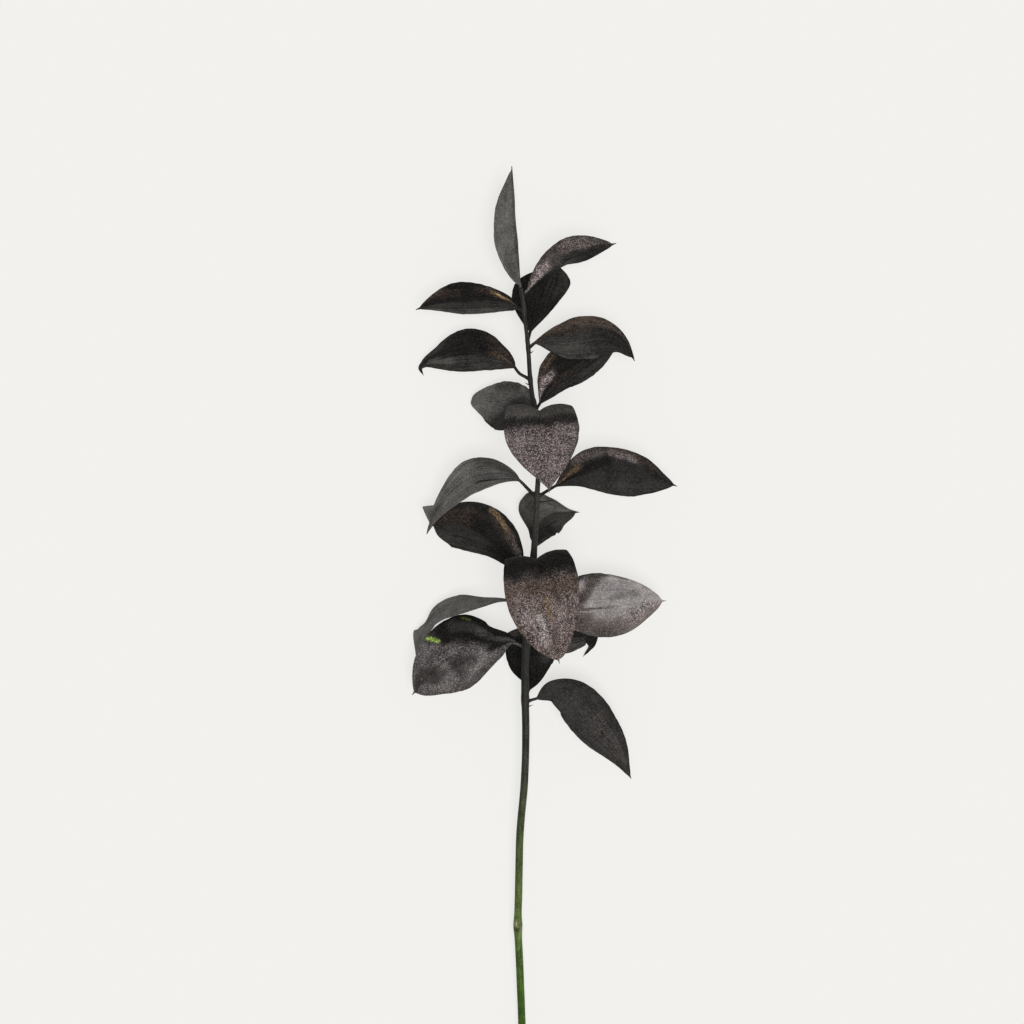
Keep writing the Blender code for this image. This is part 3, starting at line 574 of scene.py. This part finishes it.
# Paths and other helpers
def smooth_path(points):
    """Points at even steps along a smooth curve through the given ones."""
    points = np.array(points, float)
    chord = np.concatenate([[0.0], np.cumsum(np.linalg.norm(np.diff(points, axis=0), axis=1))])
    slope = np.gradient(points, chord, axis=0)
    at = np.linspace(0.0, chord[-1], PATH_SAMPLES)
    span = np.clip(np.searchsorted(chord, at, side="right") - 1, 0, len(points) - 2)
    width = (chord[span + 1] - chord[span])[:, None]
    u = (at - chord[span])[:, None] / width
    curve = (
        (2 * u**3 - 3 * u**2 + 1) * points[span]
        + (u**3 - 2 * u**2 + u) * width * slope[span]
        + (3 * u**2 - 2 * u**3) * points[span + 1]
        + (u**3 - u**2) * width * slope[span + 1]
    )
    step = np.linalg.norm(np.diff(curve[:, :3], axis=0), axis=1)
    run = np.concatenate([[0.0], np.cumsum(step)])
    even = np.linspace(0.0, run[-1], PATH_SAMPLES)
    return np.column_stack([np.interp(even, run, column) for column in curve.T])


def unit(vector):
    return vector / np.linalg.norm(vector)


def smoothstep(low, high, value):
    x = min(1.0, max(0.0, (value - low) / (high - low)))
    return x * x * (3.0 - 2.0 * x)


def sampled(path, place):
    """A path read at a place that is counted in samples."""
    return np.array([np.interp(place, range(PATH_SAMPLES), column) for column in path.T])


STALK_PATH = smooth_path(STEM_POINTS)


# Where a leaf leaves the stalk
def stem_middle(height):
    """The stalk's middle and radius at a height along +Y."""
    return np.array([np.interp(height, STALK_PATH[:, 1], column) for column in STALK_PATH.T])


def leaf_heading(leaf):
    """Where the leaf's stalk leaves the stem's middle, and in which direction."""
    middle = stem_middle(leaf.node)
    return middle, unit(np.array(leaf.spine[0], float) - middle[:3])


def cushion_length(leaf):
    """From the stem's middle out to the cushion's top, longer where the leaf leans close."""
    if leaf.node >= STEM_POINTS[-1][1]:
        return CUSHION_REACH
    middle, heading = leaf_heading(leaf)
    along = unit(stem_middle(leaf.node + 1.0)[:3] - middle[:3])
    lean = np.linalg.norm(np.cross(heading, along))
    return (middle[3] + CUSHION_REACH) / lean


def leaf_start(leaf):
    middle, heading = leaf_heading(leaf)
    return middle[:3] + heading * (cushion_length(leaf) - SEAT_DEPTH)


# Shape of a blade
def at_even_steps(values, t):
    """A value read at t from a list given at even steps over 0 to 1."""
    values = np.array(values, float)
    if len(values) == 1:
        return values[0]
    place = t * (len(values) - 1)
    low = min(int(place), len(values) - 2)
    return values[low] + (values[low + 1] - values[low]) * (place - low)


def blade_profile(s, belly, shoulder, taper):
    """Half-width of the blade, 0 to 1, from its base to its tip."""
    if s <= 0.0 or s >= 1.0:
        return 0.0
    if s < belly:
        return math.sin(0.5 * math.pi * s / belly) ** shoulder
    return math.cos(0.5 * math.pi * (s - belly) / (1.0 - belly)) ** taper


def bent_half(distance, half, fold, curl):
    """Sideways and upward place of a point on one half of the blade."""
    if abs(curl) < FLATTEST_CURL:
        return distance * math.cos(fold), distance * math.sin(fold)
    rate = curl / half
    end = fold + rate * distance
    return (math.sin(end) - math.sin(fold)) / rate, (math.cos(fold) - math.cos(end)) / rate


def edge_bump(leaf, side, s):
    """Extra half-width where the edge has a corner or a waist."""
    extra = 0.0
    for at_side, at, height, reach in leaf.bumps:
        if at_side == side:
            near = max(0.0, 1.0 - abs(s - at) / reach)
            if reach > SHARPEST_BEND:
                near = 0.5 - 0.5 * math.cos(math.pi * near)
            extra += height * near
    return extra


def blade_relief(index, t, q, swell, point):
    """Height of the midrib, the lengthwise veins and the uneven drying, in millimetres."""
    midrib = MIDRIB_HEIGHT * math.exp(-(q / MIDRIB_WIDTH) ** 2)
    bow = abs(q) ** VEIN_CROWDING
    waver = VEIN_WAVER * noise.noise(Vector((WAVERS_ALONG * t, WAVERS_ACROSS * q, index)))
    vein = VEIN_HEIGHT * math.cos(2.0 * math.pi * (VEINS_PER_HALF * bow + waver))
    dimple = DIMPLE_HEIGHT * noise.noise(Vector(point) * MM * DIMPLES_PER_METRE)
    return swell * (vein + dimple) - midrib * min(1.0, MIDRIB_FADE * swell)


def leaf_surface(leaf, index):
    """Rows of (t, points across the blade), and how stalk-like each row is."""
    path = smooth_path([leaf_start(leaf)] + leaf.spine)
    length = np.linalg.norm(np.diff(path, axis=0), axis=1).sum()
    tangents = np.gradient(path, axis=0)
    blade_from = leaf.stalk / length
    blade_to = 1.0 - THORN_LENGTH / length
    surface = []
    girths = []
    for row in range(LEAF_ROWS + 1):
        even = row / LEAF_ROWS
        t = even + ROW_EASING * (0.5 - 0.5 * math.cos(math.pi * even) - even)
        place = t * (PATH_SAMPLES - 1)
        middle = sampled(path, place)
        along = unit(sampled(tangents, place))
        face = np.array(at_even_steps(leaf.face, t), float)
        face = unit(face - along * face.dot(along))
        right = np.cross(along, face)
        fold = math.radians(at_even_steps(leaf.fold, t))
        curl = at_even_steps(leaf.curl, t)
        s = (t - blade_from) / (blade_to - blade_from)
        root = STALK_HALF_WIDTH + (THORN_HALF_WIDTH - STALK_HALF_WIDTH) * t
        root += TIP_FLARE * math.exp(-(((s - TIP_FLARE_AT) / TIP_FLARE_LENGTH) ** 2))
        root *= 1.0 - THORN_POINT * smoothstep(1.0, 1.0 + THORN_LENGTH / length, s)
        points = []
        for column in range(LEAF_COLUMNS + 1):
            q = 2.0 * column / LEAF_COLUMNS - 1.0
            side = 1 if q > 0 else 0
            swell = blade_profile(s, leaf.belly[side], leaf.shoulder[side], leaf.taper[side])
            half = leaf.half[side]
            rag_place = Vector((RAGS_ALONG * t, RAG_SIDE_SHIFT * side, index))
            ragged = RAGGED_EDGE * noise.noise(rag_place)
            reach = root + (half + ragged - root) * swell + edge_bump(leaf, side, s)
            distance = abs(q) * reach
            out, up = bent_half(distance, half, fold, math.radians(curl[side]))
            turn = 2.0 * math.pi * WAVE_COUNT * t
            turn += WAVE_PHASE_STEP * index + WAVE_SIDE_SHIFT * side
            up += leaf.wave * q * q * swell * math.sin(turn)
            point = middle + right * math.copysign(out, q) + face * up
            points.append(point + face * blade_relief(index, t, q, swell, point))
        surface.append((t, points))
        girths.append(max(0.0, min(1.0, 1.0 - t / (STALK_TAPER * blade_from))))
    return surface, girths


# Paint of a blade, with its painted sheen and shade
def stroke_weight(t, q, start, end, radius):
    """1 on the stroke's line, falling off to 0 over its radius."""
    a = np.array([start[0] * LEAF_ASPECT, start[1]])
    b = np.array([end[0] * LEAF_ASPECT, end[1]])
    p = np.array([t * LEAF_ASPECT, q])
    span = b - a
    reach = min(1.0, max(0.0, (p - a).dot(span) / max(SHORTEST_STROKE, span.dot(span))))
    away = np.linalg.norm(p - a - span * reach) / radius
    return math.exp(-away**STROKE_EDGE) if away < STROKE_REACH else 0.0


def leaf_paint_and_shade(paint_and_shade_plan, t, q, place):
    """Linear colour and graininess of the paint, with its painted sheen and shade, at a place on the
    leaf.
    """
    stray = noise.noise_vector(place * STRAYS_PER_METRE) * PAINT_STRAY
    mix = smoothstep(-HALVES_BLEND, HALVES_BLEND, q + stray.y)
    colour = np.array(paint_and_shade_plan.left) * (1.0 - mix) + np.array(paint_and_shade_plan.right) * mix
    for start, end, radius, strength, tint in paint_and_shade_plan.strokes:
        loose = min(1.0, radius / LOOSE_RADIUS)
        t_here = t + loose * stray.x / LEAF_ASPECT
        weight = strength * stroke_weight(t_here, q + loose * stray.y, start, end, radius)
        colour = colour + (np.array(tint) - colour) * weight
    return colour


# Making the leaves
def mesh_object(name, shape, material):
    mesh = bpy.data.meshes.new(name)
    shape.to_mesh(mesh)
    shape.free()
    mesh.materials.append(material)
    mesh.shade_smooth()
    piece = bpy.data.objects.new(name, mesh)
    bpy.context.scene.collection.objects.link(piece)
    return piece


def store_points(mesh, name, kind, values):
    layer = mesh.attributes.new(name, kind, "POINT")
    field = "color" if kind == "FLOAT_COLOR" else "value"
    layer.data.foreach_set(field, np.array(values, np.float32).ravel())


def make_leaf(leaf, index, material):
    paint_and_shade_plan = PAINT_AND_SHADE[leaf.name]
    surface, girths = leaf_surface(leaf, index)
    shape = bmesh.new()
    bmesh.ops.create_grid(shape, x_segments=LEAF_COLUMNS, y_segments=LEAF_ROWS, size=1.0)
    girth_layer = shape.verts.layers.deform.verify()
    uv_layer = shape.loops.layers.uv.new("along_leaf")
    places = {}
    for vert in shape.verts:
        column = round((vert.co.x + 1.0) / 2.0 * LEAF_COLUMNS)
        row = round((vert.co.y + 1.0) / 2.0 * LEAF_ROWS)
        t, points = surface[row]
        places[vert] = (t, 2.0 * column / LEAF_COLUMNS - 1.0)
        vert[girth_layer][0] = girths[row]
        vert.co = Vector(points[column]) * MM
    for face in shape.faces:
        for loop in face.loops:
            t, q = places[loop.vert]
            loop[uv_layer].uv = (0.5 + 0.5 * q, t)
    # Per-vertex colour: the paint with its painted sheen, highlights and shade
    paint_and_shade_colours = [leaf_paint_and_shade(paint_and_shade_plan, *places[vert], vert.co) for vert in shape.verts]
    veins = [paint_and_shade_plan.veins[0] if places[vert][1] < 0.0 else paint_and_shade_plan.veins[1] for vert in shape.verts]
    blade = mesh_object("ruscus_" + leaf.name, shape, material)
    store_points(blade.data, "paint", "FLOAT_COLOR", paint_and_shade_colours)
    store_points(blade.data, "veins", "FLOAT", veins)
    blade.vertex_groups.new(name="stalk")
    solid = blade.modifiers.new("thickness", "SOLIDIFY")
    solid.thickness = STALK_THICKNESS * MM
    solid.offset = 0.0
    solid.vertex_group = "stalk"
    solid.thickness_vertex_group = BLADE_THICKNESS / STALK_THICKNESS
    solid.use_even_offset = True
    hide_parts(leaf.name)
    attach(blade, "root")


# The stalk, its cushions and its scales
def stalk_swell(height):
    """Extra radius at the old leaf scar and where each leaf leaves the stalk."""
    away = (height - SHEATH_Y) / SHEATH_LENGTH
    swell = SHEATH_SWELL * math.exp(-away * away)
    for leaf in LEAVES:
        away = (height - leaf.node) / NODE_LENGTH
        swell = max(swell, NODE_SWELL * math.exp(-away * away))
    return swell


def bare_share(bare, height, side):
    """How bare the stalk's skin is at a place by the old leaf scar."""
    along = (height - SHEATH_Y - bare.above) / bare.length
    across = (side - bare.side) / bare.width
    return bare.strength * math.exp(-(along**2) - across**2)


def stalk_colour(height, side, front):
    """Paint of the stalk, with painted light on its right side and painted shade on its left and just
    under the old leaf scar. side is -1 on the left and 1 on the right, front 1 on top.
    """
    heights = [stop[0] for stop in STALK_PAINT]
    colours = np.array([stop[1] for stop in STALK_PAINT])
    drift = DRIFT * noise.noise(Vector((side * DRIFT_ROUND, height * DRIFT_PER_MM, front)))
    colour = np.array([np.interp(height + drift, heights, c) for c in colours.T])
    painted = smoothstep(GREEN_BELOW, PAINTED_ABOVE, height)
    # Painted light and shade: lighter on the right, darker on the left
    colour = colour * (1.0 + (PAINTED_SIDE_LIGHT + PAINTED_SIDE_LIGHT_ON_BLACK * painted) * side)
    bare = max(bare_share(SCAR, height, side), bare_share(STRIP, height, side))
    colour = colour + (np.array(SCAR_BEIGE) - colour) * bare
    # Painted shade just under the old leaf scar, fainter on the right
    line = math.exp(-((height - SHEATH_Y + SCAR_SHADE_BELOW) / SCAR_SHADE_LENGTH) ** 2)
    if side >= SCAR_SHADE_FAINT_FROM:
        line *= SCAR_SHADE_FAINTNESS
    colour = colour * (1.0 - SCAR_SHADE_DEPTH * line)
    return np.append(colour, STALK_GRAIN)


def frame_across(along):
    across = unit(np.cross(along, (0.0, 0.0, 1.0)))
    return across, np.cross(across, along)


def make_stalk(material):
    """The stalk as one wrapped grid, with its cushions and bracts in the same mesh."""
    even = np.linspace(0, PATH_SAMPLES - 1, STALK_STATIONS + 1)
    stations = np.array([sampled(STALK_PATH, place) for place in even])
    tangents = np.gradient(stations[:, :3], axis=0)
    shape = bmesh.new()
    bmesh.ops.create_grid(shape, x_segments=STALK_SIDES, y_segments=STALK_STATIONS, size=1.0)
    # Per-vertex colour of the stalk, with its painted light and shade
    paint_and_shade_layer = shape.verts.layers.float_color.new("paint")
    for vert in shape.verts:
        turn = math.pi * vert.co.x
        row = round((vert.co.y + 1.0) / 2.0 * STALK_STATIONS)
        station = stations[row]
        across, top = frame_across(unit(tangents[row]))
        side = math.sin(turn)
        front = math.cos(turn)
        ridge = RIDGE_HEIGHT * math.sin(RIDGES * turn + RIDGE_TWIST * station[1])
        dent_place = Vector((side, front, station[1] * SKIN_DENTS_PER_MM))
        uneven = SKIN_UNEVEN * noise.noise(dent_place)
        radius = station[3] + stalk_swell(station[1]) + ridge + uneven
        vert.co = Vector(station[:3] + radius * (across * side + top * front)) * MM
        vert[paint_and_shade_layer] = stalk_colour(station[1], side, front)
    bmesh.ops.remove_doubles(shape, verts=shape.verts[:], dist=DOUBLES_METRES)
    rims = [edge for edge in shape.edges if edge.is_boundary]
    caps = bmesh.ops.holes_fill(shape, edges=rims, sides=0)["faces"]
    bmesh.ops.inset_individual(shape, faces=caps, thickness=CUT_RIND * MM)
    for cap in caps:
        for vert in cap.verts:
            vert[paint_and_shade_layer] = PITH
    for leaf in LEAVES:
        add_cushion(shape, leaf, paint_and_shade_layer)
        if leaf is not LEAVES[0]:
            add_bract(shape, leaf, paint_and_shade_layer)
    bmesh.ops.recalc_face_normals(shape, faces=shape.faces[:])
    stalk = mesh_object("ruscus_stalk", shape, material)
    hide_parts("stem")
    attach(stalk, "root")


def turned_along(heading):
    return Vector(heading).to_track_quat("Z", "Y").to_matrix().to_4x4()


def add_cone(shape, start, end, low_radius, high_radius, sides):
    """A closed cone between two points, in millimetres."""
    start = np.array(start, float)
    end = np.array(end, float)
    length = np.linalg.norm(end - start)
    place = Matrix.Translation(Vector((start + end) / 2.0) * MM) @ turned_along(unit(end - start))
    made = bmesh.ops.create_cone(
        shape, cap_ends=True, cap_tris=False, segments=sides,
        radius1=low_radius * MM, radius2=high_radius * MM, depth=length * MM, matrix=place,
    )
    return made["verts"]


def add_cushion(shape, leaf, paint_and_shade_layer):
    middle, heading = leaf_heading(leaf)
    top = middle[:3] + heading * cushion_length(leaf)
    root_radius = min(CUSHION_ROOT_RADIUS, middle[3] * CUSHION_FIT)
    verts = add_cone(shape, middle[:3], top, root_radius, CUSHION_TOP_RADIUS, CUSHION_SIDES)
    for vert in verts:
        vert[paint_and_shade_layer] = CHARCOAL


def bract_girth(part):
    """Width of a scale at a part of its length, 1 at its root."""
    return (1.0 - part**BRACT_EASING) * (1.0 - BRACT_POINT) + BRACT_POINT


def add_bract(shape, leaf, paint_and_shade_layer):
    """A small dry scale just below the leaf's cushion: a ring drawn out to a bent point."""
    middle = stem_middle(leaf.node - BRACT_DROP)
    heading = leaf_heading(leaf)[1]
    outward = unit(np.array([heading[0], 0.0, heading[2]]))
    reach = middle[3] + leaf.bract
    start = middle[:3] + outward * BRACT_ROOT_DEPTH
    place = Matrix.Translation(Vector(start) * MM) @ turned_along(outward)
    ring = bmesh.ops.create_circle(
        shape, cap_ends=True, segments=BRACT_SIDES, radius=BRACT_RADIUS * MM, matrix=place,
    )["verts"]
    made = list(ring)
    edges = list(dict.fromkeys(edge for vert in ring for edge in vert.link_edges))
    for step in range(1, BRACT_STEPS + 1):
        part = step / BRACT_STEPS
        drawn = bmesh.ops.extrude_edge_only(shape, edges=edges)["geom"]
        ring = [item for item in drawn if isinstance(item, bmesh.types.BMVert)]
        edges = [item for item in drawn if isinstance(item, bmesh.types.BMEdge) and item.is_boundary]
        centre = sum((vert.co for vert in ring), Vector()) / len(ring)
        bend = BRACT_BEND * (2.0 * part - 1.0 / BRACT_STEPS) / BRACT_STEPS
        stride = Vector(outward * (reach - BRACT_ROOT_DEPTH) / BRACT_STEPS) + Vector((0.0, bend, 0.0))
        narrowing = bract_girth(part) / bract_girth(part - 1.0 / BRACT_STEPS)
        for vert in ring:
            vert.co = centre + (vert.co - centre) * narrowing + stride * MM
        made += ring
    bmesh.ops.contextual_create(shape, geom=edges)
    for vert in made:
        vert[paint_and_shade_layer] = COAL


# Materials
def link(tree, out, inp):
    tree.links.new(out, inp)


def math_node(tree, operation, a, b):
    node = tree.nodes.new("ShaderNodeMath")
    node.operation = operation
    for slot, value in zip(node.inputs, (a, b)):
        if isinstance(value, (int, float)):
            slot.default_value = value
        else:
            link(tree, value, slot)
    return node.outputs[0]


def noise_node(tree, vector, scale, detail, roughness):
    node = tree.nodes.new("ShaderNodeTexNoise")
    node.inputs["Scale"].default_value = scale
    node.inputs["Detail"].default_value = detail
    node.inputs["Roughness"].default_value = roughness
    link(tree, vector, node.inputs["Vector"])
    return node.outputs["Fac"]


def speck_node(tree, vector, scale):
    """A random value for each tiny cell, like droplets of paint."""
    node = tree.nodes.new("ShaderNodeTexVoronoi")
    node.inputs["Scale"].default_value = scale
    link(tree, vector, node.inputs["Vector"])
    parts = tree.nodes.new("ShaderNodeSeparateColor")
    link(tree, node.outputs["Color"], parts.inputs[0])
    return parts.outputs[0]


def ranged(tree, value, low, high, new_low, new_high):
    node = tree.nodes.new("ShaderNodeMapRange")
    for slot, number in zip(node.inputs[1:5], (low, high, new_low, new_high)):
        slot.default_value = number
    link(tree, value, node.inputs[0])
    return node.outputs[0]


def scaled_coordinates(tree, source, scale):
    node = tree.nodes.new("ShaderNodeMapping")
    node.inputs["Scale"].default_value = scale
    link(tree, source, node.inputs["Vector"])
    return node.outputs[0]


def added(tree, values):
    total = values[0]
    for value in values[1:]:
        total = math_node(tree, "ADD", total, value)
    return total


def sprayed_material(name, along_leaf, vein_scale, roughness):
    """Thin spray paint: a per-vertex colour, which holds painted sheen and shade as well as the
    paint's own colour, broken up by grain, veins and uneven cover.
    """
    material = bpy.data.materials.new(name)
    material.use_nodes = True
    tree = material.node_tree
    shader = tree.nodes["Principled BSDF"]
    place = tree.nodes.new("ShaderNodeTexCoord").outputs["Object"]
    # The per-vertex colour, with its painted sheen and shade
    paint = tree.nodes.new("ShaderNodeAttribute")
    paint.attribute_name = "paint"
    if along_leaf:
        uv = tree.nodes.new("ShaderNodeUVMap")
        uv.uv_map = "along_leaf"
        vein_place = scaled_coordinates(tree, uv.outputs[0], vein_scale)
        veins = tree.nodes.new("ShaderNodeAttribute")
        veins.attribute_name = "veins"
        vein_strength = veins.outputs["Fac"]
    else:
        vein_place = scaled_coordinates(tree, place, vein_scale)
        vein_strength = STALK_VEINS
    speck = speck_node(tree, place, SPECKS_PER_METRE)
    cluster = noise_node(tree, place, CLUSTERS_PER_METRE, detail=2.0, roughness=0.5)
    cover = noise_node(tree, place, COVERS_PER_METRE, detail=4.0, roughness=0.6)
    vein = noise_node(tree, vein_place, scale=1.0, detail=3.0, roughness=0.6)
    glint = ranged(tree, speck, *SPECK_RANGE)
    glitter = added(tree, [glint, ranged(tree, cluster, *CLUSTER_RANGE)])
    grain = math_node(tree, "MULTIPLY", glitter, paint.outputs["Alpha"])
    stripe = math_node(tree, "MULTIPLY", ranged(tree, vein, *VEIN_RANGE), vein_strength)
    factor = added(tree, [grain, stripe, ranged(tree, cover, *COVER_RANGE), 1.0])
    tint = tree.nodes.new("ShaderNodeVectorMath")
    tint.operation = "SCALE"
    link(tree, paint.outputs["Color"], tint.inputs[0])
    link(tree, math_node(tree, "MAXIMUM", factor, THINNEST_PAINT), tint.inputs["Scale"])
    link(tree, tint.outputs[0], shader.inputs["Base Color"])
    gloss = ranged(tree, cluster, *GLOSS_CLUSTERS, roughness + DULLER_BY, roughness - SHINIER_BY)
    link(tree, gloss, shader.inputs["Roughness"])
    shader.inputs["Specular IOR Level"].default_value = PAINT_SPECULAR
    height = added(tree, [math_node(tree, "MULTIPLY", grain, GRAIN_RELIEF), stripe])
    bump = tree.nodes.new("ShaderNodeBump")
    bump.inputs["Strength"].default_value = BUMP_STRENGTH
    bump.inputs["Distance"].default_value = BUMP_METRES
    link(tree, height, bump.inputs["Height"])
    link(tree, bump.outputs[0], shader.inputs["Normal"])
    return material


# Floor, light and camera
def floor_material():
    material = bpy.data.materials.new("pale_floor")
    material.use_nodes = True
    shader = material.node_tree.nodes["Principled BSDF"]
    shader.inputs["Base Color"].default_value = FLOOR_COLOUR
    shader.inputs["Emission Color"].default_value = FLOOR_GLOW
    shader.inputs["Emission Strength"].default_value = FLOOR_GLOW_STRENGTH
    shader.inputs["Roughness"].default_value = FLOOR_ROUGHNESS
    shader.inputs["Specular IOR Level"].default_value = FLOOR_SPECULAR
    return material


def make_floor():
    shape = bmesh.new()
    bmesh.ops.create_grid(shape, x_segments=1, y_segments=1, size=FLOOR_HALF_SIZE)
    floor = mesh_object("floor", shape, floor_material())


def light_room():
    """Even white light: an open sky and a broad sun almost over the camera."""
    world = bpy.data.worlds.new("studio")
    world.use_nodes = True
    background = world.node_tree.nodes["Background"]
    background.inputs["Color"].default_value = SKY_COLOUR
    background.inputs["Strength"].default_value = SKY_STRENGTH
    bpy.context.scene.world = world
    bpy.context.scene.view_settings.view_transform = "Standard"
    data = bpy.data.lights.new("key", "SUN")
    data.energy = SUN_STRENGTH
    data.angle = math.radians(SUN_WIDTH)
    lamp = bpy.data.objects.new("key", data)
    lamp.location = SUN_FROM
    lamp.rotation_euler = Vector(SUN_FROM).to_track_quat("Z", "Y").to_euler()
    bpy.context.scene.collection.objects.link(lamp)


def add_camera():
    """The camera looks straight down, as an unturned one does."""
    data = bpy.data.cameras.new("camera")
    data.lens = CAMERA_LENS
    data.sensor_width = CAMERA_SENSOR
    data.clip_start, data.clip_end = CAMERA_CLIPS
    camera = bpy.data.objects.new("camera", data)
    camera.location = CAMERA_PLACE
    bpy.context.scene.collection.objects.link(camera)
    bpy.context.scene.camera = camera


leaf_coat = sprayed_material("sprayed_leaf_coat", True, LEAF_VEIN_SCALE, LEAF_ROUGHNESS)
stalk_coat = sprayed_material("sprayed_stalk_coat", False, STALK_VEIN_SCALE, STALK_ROUGHNESS)
make_stalk(stalk_coat)
for number, one_leaf in enumerate(LEAVES):
    make_leaf(one_leaf, number, leaf_coat)
make_floor()
light_room()
add_camera()
